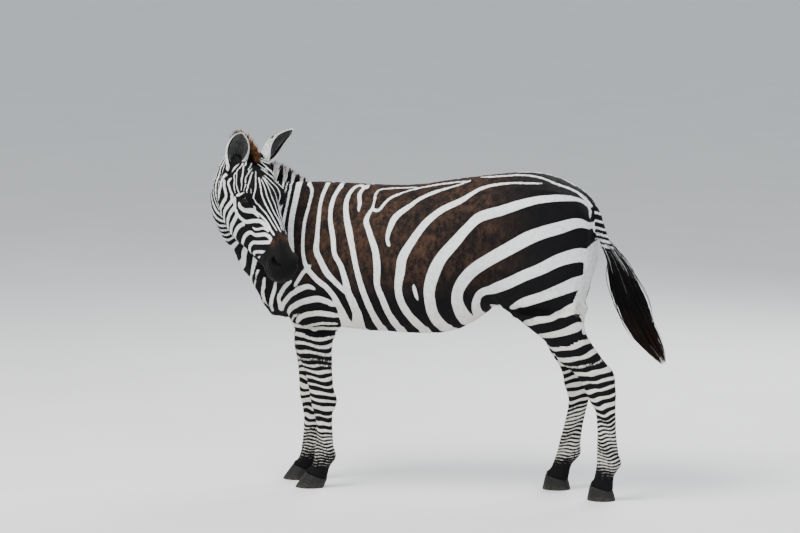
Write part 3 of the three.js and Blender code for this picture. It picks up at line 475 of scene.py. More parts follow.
# ---------------------------------------------------------------- markings
# White strokes on the left flank: which ends run on (t to the middle of the back, b to the middle of the
# belly), then y and z in metres with the half width there in mm.
FLANK = [
    ("tb", [(-.55, 1.27, 7), (-.53, 1.24, 7), (-.53, 1.19, 7), (-.54, 1.12, 7), (-.54, 1.03, 7),
            (-.53, .97, 8), (-.51, .93, 10), (-.47, .89, 11), (-.43, .86, 11), (-.40, .82, 11),
            (-.38, .77, 14), (-.37, .72, 20), (-.37, .69, 24)]),
    ("", [(-.50, .95, 9), (-.53, .92, 8), (-.55, .89, 8), (-.57, .86, 7)]),
    ("t", [(-.47, 1.27, 9), (-.48, 1.21, 8), (-.48, 1.14, 8), (-.48, 1.06, 10), (-.48, 1.01, 12),
           (-.46, .97, 12), (-.43, .92, 13), (-.40, .89, 11), (-.37, .86, 10), (-.35, .84, 9)]),
    ("tb", [(-.41, 1.27, 9), (-.43, 1.21, 9), (-.43, 1.14, 9), (-.41, 1.06, 11), (-.40, 1.00, 10),
            (-.37, .95, 11), (-.35, .89, 13), (-.34, .84, 16), (-.32, .79, 19), (-.31, .74, 22),
            (-.32, .69, 28)]),
    ("b", [(-.29, 1.27, 5), (-.35, 1.26, 8), (-.37, 1.21, 10), (-.36, 1.15, 12), (-.34, 1.09, 14),
           (-.32, 1.02, 12), (-.30, .94, 12), (-.28, .87, 13), (-.26, .81, 14), (-.24, .75, 15),
           (-.22, .69, 20)]),
    ("t", [(-.30, 1.27, 8), (-.32, 1.24, 9), (-.31, 1.20, 8), (-.31, 1.17, 7)]),
    ("b", [(-.08, 1.265, 6), (-.14, 1.262, 6), (-.23, 1.255, 6), (-.25, 1.24, 6), (-.25, 1.19, 6),
           (-.27, 1.14, 11), (-.25, 1.09, 12), (-.22, 1.02, 14), (-.21, .95, 15), (-.21, .88, 13),
           (-.19, .82, 14), (-.17, .76, 15), (-.14, .69, 20)]),
    ("", [(-.25, 1.18, 7), (-.22, 1.18, 7), (-.19, 1.22, 7), (-.14, 1.245, 7), (-.08, 1.262, 7),
          (0, 1.278, 7), (.08, 1.29, 6), (.14, 1.295, 6)]),
    ("", [(.14, 1.30, 5), (.09, 1.28, 7), (.02, 1.26, 9), (-.05, 1.23, 10), (-.09, 1.20, 11),
          (-.14, 1.16, 14), (-.16, 1.12, 12), (-.17, 1.07, 8), (-.16, 1.04, 7)]),
    ("b", [(.45, 1.30, 6), (.34, 1.30, 7), (.26, 1.29, 9), (.19, 1.27, 10), (.12, 1.225, 13),
           (.05, 1.19, 14), (-.01, 1.14, 15), (-.06, 1.07, 16), (-.10, 1.00, 19), (-.11, .94, 19),
           (-.12, .87, 15), (-.11, .81, 16), (-.08, .75, 18), (-.04, .69, 22)]),
    ("", [(-.055, .89, 7), (-.05, .86, 8), (-.04, .82, 7)]),
    ("b", [(.64, 1.16, 9), (.63, 1.20, 10), (.59, 1.235, 13), (.53, 1.245, 15), (.45, 1.24, 17),
           (.37, 1.22, 20), (.30, 1.195, 20), (.21, 1.165, 21), (.16, 1.12, 19), (.11, 1.06, 22),
           (.06, 1.00, 23), (.03, .94, 25), (.01, .87, 23), (.01, .81, 22), (.02, .75, 23),
           (.05, .69, 26)]),
    ("b", [(.66, 1.09, 10), (.64, 1.13, 14), (.60, 1.145, 20), (.54, 1.13, 24), (.47, 1.11, 25),
           (.41, 1.085, 27), (.34, 1.045, 26), (.27, 1.005, 25), (.20, .96, 25), (.15, .91, 25),
           (.12, .85, 23), (.12, .79, 25), (.14, .72, 32)]),
    ("", [(.65, 1.005, 27), (.61, 1.017, 28), (.54, 1.00, 25), (.47, .965, 23), (.40, .935, 22),
          (.33, .90, 22), (.26, .87, 21), (.21, .85, 19), (.185, .81, 18), (.18, .75, 20),
          (.20, .70, 25)]),
    ("", [(.63, .905, 29), (.60, .901, 28), (.54, .877, 24), (.47, .85, 20), (.40, .825, 19),
          (.33, .79, 10)]),
    ("", [(.61, .805, 24), (.58, .795, 21), (.54, .775, 17), (.45, .75, 15), (.39, .73, 16)]),
    ("", [(.62, .73, 22), (.56, .705, 15), (.50, .69, 13), (.44, .68, 11)]),
    ("", [(.17, 1.31, 6), (.26, 1.318, 8), (.35, 1.325, 9), (.43, 1.318, 10), (.50, 1.295, 11),
          (.57, 1.265, 10), (.61, 1.235, 10), (.64, 1.20, 8)]),
    ("", [(.235, .795, 12), (.26, .768, 15), (.29, .755, 14)]),
]
# Strokes on the chest and shoulder: x from the body's middle plane, y and z in metres, half width in mm.
CHEST = [
    [(.130, -.745, .965, 6), (.10, -.76, .935, 7), (.06, -.785, .915, 8), (.0, -.80, .905, 8),
     (-.01, -.80, .906, 8)],
    [(.11, -.765, .87, 6), (.085, -.775, .845, 7), (.04, -.79, .825, 8), (.0, -.795, .815, 8),
     (-.01, -.795, .816, 8)],
    [(.108, -.73, .785, 6), (.08, -.755, .76, 7), (.03, -.77, .74, 8), (.0, -.775, .735, 7),
     (-.01, -.775, .736, 7)],
    [(.14, -.735, .935, 7), (.13, -.75, .905, 7), (.11, -.765, .87, 6)],
    [(.145, -.715, .885, 8), (.133, -.724, .85, 9), (.119, -.733, .82, 9), (.108, -.729, .785, 8),
     (.09, -.72, .755, 7)],
    [(.157, -.66, .875, 8), (.141, -.675, .833, 9), (.126, -.69, .797, 9), (.114, -.698, .762, 9),
     (.075, -.70, .73, 8)],
    [(.215, -.585, .885, 6), (.205, -.602, .868, 9), (.183, -.629, .839, 10), (.143, -.655, .804, 9),
     (.128, -.655, .769, 8), (.09, -.66, .735, 8)],
    [(.222, -.476, .85, 5), (.223, -.508, .862, 10), (.217, -.544, .85, 11), (.209, -.58, .828, 10),
     (.159, -.619, .795, 10), (.125, -.643, .765, 9), (.10, -.655, .735, 8)],
    [(.203, -.400, .783, 11), (.212, -.435, .803, 12), (.216, -.476, .811, 13),
     (.213, -.524, .799, 13), (.194, -.567, .780, 12), (.152, -.604, .757, 11),
     (.116, -.626, .730, 10), (.095, -.64, .70, 9)],
    [(.178, -.385, .735, 10), (.196, -.439, .747, 12), (.200, -.480, .748, 12),
     (.194, -.525, .740, 11), (.177, -.555, .724, 10), (.155, -.578, .700, 8)],
    [(.181, -.562, .741, 5), (.150, -.592, .724, 6), (.126, -.607, .699, 5)],
    [(.150, -.400, .693, 9), (.177, -.448, .702, 10), (.171, -.492, .696, 10), (.156, -.539, .682, 10),
     (.135, -.579, .663, 9)],
]
# White rings of the neck: planes (centre, direction) that the rings turn through, and each ring's place.
NECK_PLANES = [
    ((0, -.52, 1.03), (0, -1, 0), 0.0), ((0, -.60, 1.05), (0, -1, .08), .08),
    ((.015, -.70, 1.09), (.1, -.93, .30), .185), ((.05, -.79, 1.15), (.45, -.75, .45), .29),
    ((.12, -.845, 1.225), (.85, -.36, .14), .40), ((.19, -.84, 1.28), (.93, .14, .12), .487),
    ((.245, -.80, 1.31), (.86, .46, .12), .555),
]
NECK_RINGS = [  # place, half width in mm
    (.075, 12), (.118, 10), (.168, 10), (.215, 10), (.262, 9), (.305, 9), (.345, 8), (.383, 8), (.418, 7),
    (.450, 7), (.480, 6), (.508, 6), (.535, 5), (.56, 5), (.585, 5),
]
# Heights of the middles of the dark bands of the legs.
FORE_BANDS = [.700, .661, .628, .595, .561, .536, .511, .482, .452, .423, .389, .36, .322, .293, .259, .234,
              .219, .205, .191, .177, .163, .150, .138, .126, .114, .102, .091]
HIND_BANDS = [.725, .676, .627, .586, .558, .521, .488, .455, .422, .385, .356, .338, .320, .303, .286,
              .270, .254, .239, .224, .210, .196, .182, .168, .155, .142, .129, .117, .105, .093]
FORE_TOP, HIND_TOP = 0.695, 0.660  # where the bands end
PASTERN = 0.084, 0.104  # black below, bands above
BACK_LINE, BELLY_LINE = 0.011, 0.016  # half widths of the dark lines along the body's middle
RINGS_FROM = 0.10  # the place where the neck's rings take over from the strokes
WITHERS = -0.52  # y where the place along the neck is 0
# White rings of the dock: place, half width in mm.
DOCK_RINGS = [(z, 5.2) for z in (1.172, 1.140, 1.112, 1.088, 1.066, 1.045, 1.024, 1.003, .982, .960)]
# Face strokes, mm in the head's frame: half width, then a line. "s": (u, v) from the side, on both sides.
# "p": (u, v, w) points, on both sides too. "m": points of a line that has no twin.
FACE = [
    (2.7, "m", [(92, 83, -21), (124, 84, -35), (170, 84, -54), (205, 75, -73), (222, 66, -66),
                (251, 61, -46), (287, 66, -34), (325, 66, -25), (362, 65, -14)]),
    (3.0, "m", [(122, 86, -20), (164, 88, -30), (199, 85, -36), (237, 76, -30), (289, 73, -19),
                (337, 69, -7), (368, 65, 3)]),
    (2.8, "m", [(130, 87, -12), (177, 91, -14), (208, 89, -16), (247, 82, -10), (286, 76, -2),
                (321, 71, 9), (360, 65, 13)]),
    (2.5, "m", [(121, 86, -1), (158, 90, 4), (205, 89, 5), (248, 82, 12), (286, 75, 15), (330, 68, 20),
                (362, 62, 23)]),
    (2.5, "m", [(123, 86, 3), (162, 90, 17), (198, 87, 30), (231, 78, 36), (266, 70, 32),
                (300, 68, 27)]),
    (3.0, "m", [(114, 85, 10), (139, 86, 29), (163, 85, 45), (182, 84, 55), (212, 76, 58),
                (244, 70, 48), (278, 67, 37), (320, 64, 32), (352, 60, 34)]),
    (3.4, "m", [(81, 80, 11), (102, 83, 26), (122, 82, 46), (160, 76, 76), (190, 66, 88)]),
    (2.8, "m", [(49, 71, 7), (73, 79, 20), (97, 84, 37)]),
    (3.0, "m", [(31, 64, 31), (59, 76, 35), (86, 82, 45), (104, 83, 55), (130, 76, 74),
                (158, 60, 86)]),
    (2.0, "m", [(190, 66, -90), (208, 69, -84), (222, 66, -68)]),
    (3.2, "p", [(-11, 50, 19), (15, 59, -17), (48, 74, -47), (80, 67, -71), (109, 55, -83),
                (147, 27, -84)]),
    (3.0, "p", [(8, 86, -37), (28, 81, -53), (53, 69, -68), (62, 36, -75), (88, 26, -83),
                (117, 11, -85), (152, 11, -86)]),
    (3.0, "p", [(63, 30, -77), (71, 12, -81), (88, 10, -83), (105, -2, -87), (138, -9, -89)]),
    (2.6, "m", [(36, 66, -5), (59, 75, -27), (85, 84, -57)]),
    (2.6, "p", [(75, 79, -27), (97, 84, -58), (114, 67, -71), (146, 63, -88), (164, 49, -91)]),
    (2.8, "m", [(94, 83, -38), (119, 81, -57), (143, 68, -69), (182, 69, -95)]),
    (2.3, "m", [(168, 78, -74), (188, 78, -80)]),
    (4.2, "s", [(233, 50), (248, 36), (273, 44), (302, 53), (327, 56), (351, 56), (376, 58)]),
    (6, "s", [(71, -4), (73, -20), (79, -31), (96, -31), (120, -32), (139, -25)]),
    (7, "s", [(43, 9), (41, -27), (41, -54), (53, -75), (72, -88)]),
    (8, "s", [(58, -76), (78, -107), (92, -134), (93, -170)]),
    (8.8, "s", [(56, -50), (79, -61), (105, -65), (122, -77), (127, -110), (133, -154), (150, -190)]),
    (8.8, "s", [(136, -37), (153, -41), (157, -67), (158, -98), (163, -130), (185, -175),
                (200, -200)]),
    (8.4, "s", [(151, -20), (172, -34), (183, -43), (186, -69), (191, -102), (203, -145),
                (228, -185)]),
    (8.8, "s", [(192, -46), (214, -54), (223, -93), (230, -141), (250, -180)]),
    (8, "s", [(263, -45), (255, -74), (254, -109), (262, -150), (276, -172)]),
    (7.8, "s", [(211, -51), (238, -44), (262, -29), (278, 5), (291, 27), (308, 39), (330, 45),
                (349, 45)]),
    (4.6, "s", [(298, -13), (311, -5), (319, 10), (326, 29), (340, 39)]),
    (7.5, "s", [(391, 39), (374, 40), (353, 25), (342, 3), (328, -23), (309, -37), (301, -56),
                (298, -87), (303, -113), (312, -140)]),
    (7, "s", [(406, 32), (394, 31), (381, 9), (361, -28), (343, -61), (341, -92), (351, -111),
              (358, -128)]),
    (6.4, "s", [(429, 24), (417, -9), (400, -35), (376, -83), (378, -106)]),
    (5, "s", [(432, -12), (414, -55), (401, -84)]),
    (11, "s", [(186, -8), (200, -11), (217, -3), (231, 11), (241, 26), (244, 36)]),
    (4.6, "s", [(236, 20), (254, 28), (278, 35)]),
    (5, "s", [(150, -8), (158, 12), (172, 50)]),
]


STROKE_GAP = 0.008  # between the points of a stroke on the body
BELLY_STEPS, BACK_STEPS = 25, 15  # points of a stroke's way on to the body's middle
RAY_SHIFTS = ((0, 0, 0), (3e-4, 2e-4, -3e-4), (-2e-4, -3e-4, 2e-4))


class Surface:
    """The skin as something to cast on to."""

    def __init__(self, mesh):
        self.tri, self.co = triangles(mesh), coords(mesh)
        self.tree = BVHTree.FromPolygons(self.co.tolist(), self.tri.tolist(), all_triangles=True)

    def read(self, values, points):
        """A per-point field of the skin, read at the places on it nearest to points."""
        hits = [self.tree.find_nearest(Vector(p)) for p in points]
        place = np.array([h[0] for h in hits])
        corners = self.tri[[h[2] for h in hits]]
        a, b, c = (self.co[corners[:, k]] for k in range(3))
        n = np.cross(b - a, c - a)
        whole = np.maximum((n * n).sum(1), 1e-18)
        v = (np.cross(place - a, c - a) * n).sum(1) / whole
        w = (np.cross(b - a, place - a) * n).sum(1) / whole
        return (values[corners] * np.stack([1 - v - w, v, w], 1)).sum(1)

    def nearest(self, point):
        return np.array(self.tree.find_nearest(Vector(point))[0])

    def cast(self, start, direction, miss=None):
        """Where a ray meets the skin, or the place nearest to miss or to the start if it does not.

        It is the first of a few close parallel rays, as one alone can slip through an edge.
        """
        start, direction = Vector(start), Vector(direction)
        hits = [self.tree.ray_cast(start + Vector(shift), direction) for shift in RAY_SHIFTS]
        hits = [(hit[3], tuple(hit[0])) for hit in hits if hit[0] is not None]
        return np.array(min(hits)[1]) if hits else self.nearest(start if miss is None else miss)


def sampled(points, gap, lengths=None):
    """A smooth line through points, one about every gap. lengths is 1 for columns that are places."""
    p = np.asarray(points, float)
    steps = np.diff(p if lengths is None else p * lengths, axis=0)
    length = np.linalg.norm(steps, axis=1).sum()
    return catmull(p, max(4, int(length / gap)))


def taper(count, gap, start, end):
    """A half width's share along a stroke: free ends come to a point."""
    i = np.arange(count) * gap
    share = np.ones(count)
    if start:
        share *= np.sqrt(np.clip((i + 0.15 * start) / start, 0, 1))
    if end:
        share *= np.sqrt(np.clip((i[::-1] + 0.15 * end) / end, 0, 1))
    return share


def closed_up(skin, pts, half):
    """(points, half widths) of a stroke with more points where it runs over a steep part of the skin."""
    points, widths = [pts[0]], [half[0]]
    for a, b, wide_a, wide_b in zip(pts[:-1], pts[1:], half[:-1], half[1:]):
        parts = min(8, int(np.linalg.norm(b - a) / 0.007) + 1)
        for f in np.arange(1, parts + 1) / parts:
            points.append(b if f == 1 else skin.nearest(a + f * (b - a)))
            widths.append(wide_a + f * (wide_b - wide_a))
    return np.array(points), np.array(widths)


def flank_strokes(skin, side):
    """(points, half widths) of the body's strokes on one side. The two sides differ a little."""
    found = []
    for number, (ends, line) in enumerate(FLANK):
        rows = sampled(line, STROKE_GAP, (1, 1, 0))
        yz, half = rows[:, :2], rows[:, 2] / 1000
        if side < 0:
            phase = 1.7 * number
            sway = np.stack([np.sin(phase + 4 * yz[:, 1]), 0.5 * np.cos(phase + 5 * yz[:, 0])], 1)
            yz = yz + 0.012 * sway
            half = half * (1 + 0.14 * math.sin(2.3 * number))
        pts, half, tail = [], list(half), 0.02
        for y, z in yz:  # from outside, but from within beside the neck: there the head is in the way
            start, way = ((MID + side * 0.5, y, z), -side) if y > -0.46 else ((MID, y, z), side)
            pts.append(skin.cast(start, (way, 0, 0), (MID + side * 0.05, y, z)))
        if "b" in ends:
            x0, y0, drift = pts[-1][0] - MID, pts[-1][1], pts[-1][1] - pts[-6][1]
            for k in range(1, BELLY_STEPS + 1):
                x, y = x0 * (1 - k / BELLY_STEPS) + side * 0.014, y0 + drift * 0.5 * math.sin(k / 16)
                pts.append(skin.cast((MID + x, y, 0.85), (0, 0, -1)))
                half.append(half[-1] + 0.0002)
            tail = 0.03
        if "t" in ends:
            x0, y0 = pts[0][0] - MID, pts[0][1]
            for k in range(1, BACK_STEPS + 1):
                x = x0 * (1 - k / BACK_STEPS) + side * 0.010
                pts.insert(0, skin.cast((MID + x, y0, 1.0), (0, 0, 1)))
                half.insert(0, half[0])
        found.append(closed_up(skin, pts, np.array(half) * taper(len(pts), STROKE_GAP, 0.02, tail)))
    for line in CHEST:
        rows = sampled(line, STROKE_GAP, (1, 1, 1, 0))
        pts = rows[:, :3] * [side, 1, 1] + [MID, 0, 0]
        if side < 0:
            pts[:, 2] += 0.012 * step(rows[:, 0], 0.02, 0.10)
        pts = np.array([skin.nearest(p) for p in pts])
        found.append((pts, rows[:, 3] / 1000 * taper(len(pts), STROKE_GAP, 0.02, 0.02)))
    return found


def face_strokes(skin):
    """(points, half widths) of the strokes on the head. The twins on the left side differ a little."""
    found, gap = [], 3.0
    for half, kind, line in FACE:
        p = sampled(line, gap)
        if kind == "s":
            starts = [[(u, v, 0.0) for u, v in p],
                      [(u + 4 * math.sin(v / 25), v + 3 * math.sin(u / 20), 0.0) for u, v in p]]
        else:
            starts = [p] if kind == "m" else [p, p * [1, 1, -1] + [5, 0, 6]]
        for points, side in zip(starts, (-1.0, 1.0)):
            pts = [skin.cast(start, HEAD[2] * side) if kind == "s" else skin.nearest(start)
                   for start in from_head(points)]
            found.append((np.array(pts), half / 1000 * taper(len(pts), gap, 12, 12)))
    return found


def stroke_field(co, strokes, count=5):
    """For each point the largest (half width - distance) over the nearest points of strokes."""
    points = np.concatenate([p for p, _ in strokes])
    half = np.concatenate([h for _, h in strokes])
    tree = KDTree(len(points))
    for i, p in enumerate(points):
        tree.insert(p, i)
    tree.balance()
    return np.array([max(half[j] - d for _, j, d in tree.find_n(p, count)) for p in co])


def neck_weights(co, reach):
    """For each plane of the neck: the points' weights and offsets from it, its direction, its place."""
    for centre, direction, place in NECK_PLANES:
        d = co - (np.array(centre) + [MID, 0, 0])
        yield np.exp(-((np.linalg.norm(d, axis=1) / reach) ** 2)) + 1e-9, d, unit(direction), place


def neck_place(co):
    """Each point's place along the neck: rings are where this is constant."""
    total = weights = 0
    for w, d, direction, place in neck_weights(co, 0.085):
        total = total + w * (place + d @ direction)
        weights = weights + w
    return total / weights


def ring_field(place, rings):
    """Above 0 on the rings, each a place in metres and a half width in mm."""
    at, half = np.array(rings).T
    return (half[None, :] / 1000 - np.abs(place[:, None] - at[None, :])).max(1)


def band_field(z, bands, dark):
    """Legs: above 0 between the dark bands."""
    at = np.array(bands)
    pitch = np.interp(z, at[::-1], np.abs(np.gradient(at))[::-1])
    return np.abs(z[:, None] - at[None, :]).min(1) - pitch * dark * 0.5


def leg_axis(leg):
    """Height to (x, y) of the middle of a leg, from its nodes' own points."""
    co = np.concatenate([np.array([v.co for v in NODES[f"leg_{leg}_{part}"].data.vertices])
                         for part in ("upper", "lower")])
    rows = []
    for z in np.arange(0.08, co[:, 2].max(), 0.04):
        near = co[np.abs(co[:, 2] - z) < 0.03]
        if len(near):
            rows.append([z, *((near.max(0) + near.min(0)) / 2)[:2]])
    return np.array(rows)


def leg_field(co):
    """The legs' bands: (field, which points are near a leg, which of them are below its top)."""
    field, near_any, below = np.full(len(co), -1.0), np.zeros(len(co), bool), np.zeros(len(co), bool)
    for number, leg in enumerate(LEGS):
        axis = leg_axis(leg)
        z = co[:, 2]
        dx, dy = (co[:, k] - np.interp(z, axis[:, 0], axis[:, k + 1]) for k in (0, 1))
        fore = leg.startswith("fore")
        side = 1 if leg.endswith("left") else -1
        top = FORE_TOP if fore else HIND_TOP
        reach = np.interp(z, [0.4, 0.6, 0.75], [0.09, 0.13, 0.16 if fore else 0.22])
        near = (np.hypot(dx, dy) < reach) & (z < top + 0.03) & ((co[:, 0] - MID) * side > -0.01)
        angle = np.arctan2(dy, dx * side)
        calm = step(z, 0.16, 0.34)
        shift = (0.003 + 0.004 * calm) * np.sin(angle + 0.9 * number)
        shift += 0.003 * np.sin(3 * angle + z * 40)
        shift += 0.0028 * np.sin(2 * angle + 31 * z + number) * (0.4 + 0.6 * calm)
        shift += (0, 0.006, 0.003, -0.005)[number] - (0.02 * dy if fore else 0.16 * dy * calm)
        dark = 0.60 - 0.10 * step(-dx * side, 0.0, 0.05) * calm + 0.34 * step(z, 0.165, 0.095)
        dark = dark + 0.07 * np.sin(angle + 47 * z + 2 * number)
        f = band_field(z + shift, FORE_BANDS if fore else HIND_BANDS, dark)
        f = np.where(z + shift > top, -0.02, f)
        f = np.minimum(f, -0.012 + 0.024 * step(z + shift, *PASTERN))
        field = np.where(near, f, field)
        near_any |= near
        below = np.where(near, z + shift < top - 0.012, below)
    return field, near_any, below


# ---------------------------------------------------------------- fields of the skin and coat
# mark: above 0 white, below 0 black. brown: 0 to 1, of the black. cream: 0 to 1, of the white.
# bare: 0 to 1, dark skin, and in the ears' openings also painted shade. tip: 0 to 1 along a hair.
COLOURS = ("mark", "brown", "cream", "bare")
FIELDS = (*COLOURS, "tip")


def nearest_node(co):
    """The name's number in FLESH of the node of flesh that each point lies on."""
    verts, faces, owner, base = [], [], [], 0
    for number, name in enumerate(FLESH):
        points, _, tri = welded(name)
        verts += points.tolist()
        faces += (tri + base).tolist()
        owner += [number] * len(tri)
        base += len(points)
    tree = BVHTree.FromPolygons(verts, faces)
    return np.array([owner[tree.find_nearest(Vector(p))[2]] for p in co])


def thigh_field(co, side, dock):
    """Above 0 between the thighs and under the tail, where the coat is plain white."""
    x, y, z = co.T
    off = np.abs(x - MID)
    inward = -0.05 * (SKIN_NORMALS[:, 0] * side + 0.30)
    inner = smallest(0.86 - z, z - 0.63, np.maximum(0.05 - off, inward), y - 0.3)
    rear = smallest(1.05 - z, z - 0.66, np.where(side > 0, 0.07, 0.15) - off, y - 0.53)
    heights = np.arange(0.66, 1.12, 0.02)
    behind = co[(y > 0.4) & ~dock]
    edge = [behind[np.abs(behind[:, 2] - h) < 0.012][:, 1].max() for h in heights]
    edge = y - np.interp(z, heights, edge) + 0.008 + 0.004 * np.sin(40 * z)
    rear = np.maximum(rear, smallest(edge, 1.07 - z, z - 0.69))
    rear = np.where((y > 0.45) & ~dock, rear, -1)
    return np.clip(np.maximum(inner, rear), -1, 0.02)


def paint(co):
    """The skin's fields at points that lie on it, as a dict of arrays."""
    node = nearest_node(co)
    head, trunk, dock, low_neck, high_neck = (
        node == FLESH.index(name) for name in ("head", "trunk", "tail_dock", "neck_lower", "neck_upper"))
    p = to_head(co)
    x, y, z = co.T
    side = np.where(x > MID, 1, -1)

    strokes = flank_strokes(SURFACE, 1) + flank_strokes(SURFACE, -1)
    mark = np.maximum(-0.03, stroke_field(co, strokes))
    legs, near_leg, below = leg_field(co)
    mark = np.where(near_leg, np.maximum(mark, legs), mark)
    mark = np.where(below, legs, mark)

    flat = step(y, -0.68, -0.61)  # beside the withers the rings stand upright
    place = flat * (WITHERS - y) + (1 - flat) * neck_place(co)
    ripple = 0.006 * np.sin(z * 21 + 3 * place) + 0.004 * np.sin(x * 37 + z * 11)
    rings = ring_field(place + ripple, NECK_RINGS) - 0.014 * step(z, 1.0, 0.91) * trunk
    ringed = low_neck | high_neck | (trunk & (y < -0.555) & (z > 0.92))
    mark = np.where(ringed, np.where(place > RINGS_FROM, rings, np.maximum(mark, rings)), mark)
    mark[head] = stroke_field(co[head], face_strokes(SURFACE))

    # belly and back: a dark line runs along the middle
    off, up = np.abs(x - MID), SKIN_NORMALS[:, 2]
    spine = np.where(trunk & (up > 0.2), off - BACK_LINE, 1)
    belly = np.where(trunk & (up < -0.2), off - BELLY_LINE, 1)
    mark = smallest(mark, spine, belly)
    mark = np.maximum(mark, thigh_field(co, side, dock))
    mark = np.where(dock, ring_field(z + 0.25 * (y - 0.66) + 0.004 * np.sin(30 * x), DOCK_RINGS), mark)

    upper = step(z, 0.80, 1.00) * trunk * step(y, 0.46, 0.16)
    brown = np.clip(0.97 * upper * step(y, -0.66, -0.46) + 0.03, 0, 1)
    nose = np.exp(-(((p[:, 0] - 392) / 26) ** 2)) * step(p[:, 1], 10, 34) * head
    brown = np.maximum(brown, 0.95 * nose)
    cream = np.where(head, 0.08, np.clip(step(z, 0.95, 0.66) * 0.42 + 0.05, 0, 1))
    eye, rims = lid_skin(p)
    mark = np.where(head, np.minimum(mark, 0.02 - 0.04 * muzzle_field(p) * head), mark)
    mark = np.where(head & (eye > 0), np.minimum(mark, 0.004 - 0.012 * eye), mark)
    mark = np.where(head & (ear_foot(1, co) | ear_foot(-1, co)), -0.010, mark)
    bare = np.maximum(0.85 * muzzle_field(p, 26) * head, rims)
    return {"mark": mark, "brown": brown, "cream": cream, "bare": bare, "tip": np.zeros(len(co)),
            "node": node, "side": side}


# v, u in the head's frame: the muzzle's black starts lower at the sides than on top of the nose
MUZZLE_BORDER = [-110, -80, -42, -5, 17, 40, 58, 90], [412, 408, 412, 414, 406, 394, 378, 366]


def muzzle_field(p, past=0):
    """0 to 1: the dark muzzle, past its border."""
    border = np.interp(p[:, 1], *MUZZLE_BORDER)
    ripple = 3 * np.sin(p[:, 2] * 0.22) * step(p[:, 1], 30, 60)
    return step(p[:, 0] - border - past + ripple, -5, 5 + past)


def lid_skin(p):
    """(dark, bare), each 0 to 1: the dark fur round the eye, and the bare rims of the lids."""
    r = np.stack([p[:, 0], p[:, 1], np.abs(p[:, 2])], 1) - EYE
    x, y = r @ LID_LONG, r @ LID_UP
    near = (np.linalg.norm(r, axis=1) < 72) & (r @ LID_AXIS > -12)
    k = np.hypot((x - 1) / 35, (y - 1) / np.where(y > 1, 24, 21))
    return step(k, 1.12, 0.92) * near, step(lid_gap(x, y), 5.0, 2.5) * near


def store(mesh, fields):
    for name, values in fields.items():
        data = mesh.attributes.new(name, "FLOAT", "POINT").data
        data.foreach_set("value", np.ascontiguousarray(values, np.float32))


# ---------------------------------------------------------------- ears
EAR_ROWS = [  # height share: radius across, cup depth, half opening (degrees), thickness, mm
    [-0.14, 24, 24, 25, 13], [0, 28, 28, 25, 13], [0.12, 36, 31, 38, 9], [0.3, 45, 31, 60, 6.5],
    [0.5, 47, 26, 76, 5.5], [0.7, 42, 19, 86, 5], [0.86, 31, 12, 91, 4.5], [0.95, 19, 7, 94, 4],
    [1, 8, 3, 95, 3.5],
]
EAR_LONG = 158  # mm
EARS = {  # base in the head's frame; axis and opening in the scene
    -1: ((26, 16, -70), (0.325, 0.352, 0.874), (0.888, -0.062, -0.21)),
    1: ((9, 30, 96), (-0.142, 0.64, 0.755), (0.365, 0.853, -0.356)),
}
EAR_RINGS, EAR_ARC = 40, 34  # rings from foot to tip, and points across each sheet


def ear_frame(side):
    base, axis, opening = EARS[side]
    up = unit(axis)
    front = unit(np.array(opening) - np.dot(opening, up) * up)
    return from_head(base), up, front, np.cross(up, front)


def ear_point(side, t, angle, inner, lift=0.0):
    """A point of the ear. angle is 0 to 1 across its flesh from edge to edge; t, angle are arrays."""
    base, up, front, across = ear_frame(side)
    wide, deep, half, thick = at_value(EAR_ROWS, t).T
    bow = -10 * np.sin(np.pi * np.clip(t, 0, 1)) + 6 * t
    gap = np.radians(half)
    turn = gap + (2 * np.pi - 2 * gap) * angle
    less = np.where(inner, thick, 0) - lift
    rx, ry = wide - less, np.maximum(deep - less, 0.6)
    edge = np.abs(2 * angle - 1) ** 8  # the two sides close on each other at the rim
    rx = rx + np.where(inner, 0.35, -0.35) * thick * edge
    mm = (EAR_LONG * t)[:, None] * up + bow[:, None] * front
    mm = mm + (np.cos(turn) * ry)[:, None] * front + (np.sin(turn) * rx)[:, None] * across
    return base + mm / 1000


def ear_mesh(side):
    """(points, quads, fields) of one ear: an outer and an inner sheet joined round the rim."""
    arc = 0.5 - 0.5 * np.cos(np.linspace(0, np.pi, EAR_ARC))
    n = 2 * EAR_ARC
    t = np.repeat(np.linspace(-0.13, 1, EAR_RINGS), n)
    angle = np.tile(np.concatenate([arc, arc[::-1]]), EAR_RINGS)
    inner = np.tile(np.arange(n) >= EAR_ARC, EAR_RINGS)
    k, top = np.arange(EAR_ARC - 1), (EAR_RINGS - 1) * n
    foot = np.stack([n - 1 - k, n - 2 - k, k + 1, k], 1)
    quads = [ring_quads(EAR_RINGS, n), top + foot[:, ::-1], foot]
    fields = ear_fields(side, t, np.abs(2 * angle - 1), inner)
    return ear_point(side, t, angle, inner), np.concatenate(quads), {**fields, "tip": np.zeros(len(t))}


def ear_fields(side, t, rim, inner):
    """Behind white, a black band and a brown spot. Inside grey with painted shade deepening to the cup's
    middle, then a black line and a white edge.
    """
    t = t + 0.012 * np.sin(9 * rim + side)
    band = np.maximum(np.maximum(t - 0.88, 0.58 - t) * 0.16, (rim - 0.70) * 0.05)
    spot = 0.010 - np.hypot((t - 0.50) * 0.16, (rim - 0.62) * 0.05)
    line = np.abs(rim - 0.73) - 0.13 - 0.03 * step(t, 0.75, 1.0)
    mark = np.where(inner, np.where(line < 0, -0.010, 0.010), np.minimum(band, -spot))
    # inside the cup: grey as a share of dark skin, plus painted shade that darkens towards the middle of
    # the opening
    shade = np.where(inner & (line > 0) & (rim < 0.73), 0.87 + 0.08 * step(rim, 0.50, 0.15), 0.0)
    return shades(len(t), mark, np.where(inner, 0.10, 0.2 + 0.8 * (spot > -0.01)), 0.12, shade)


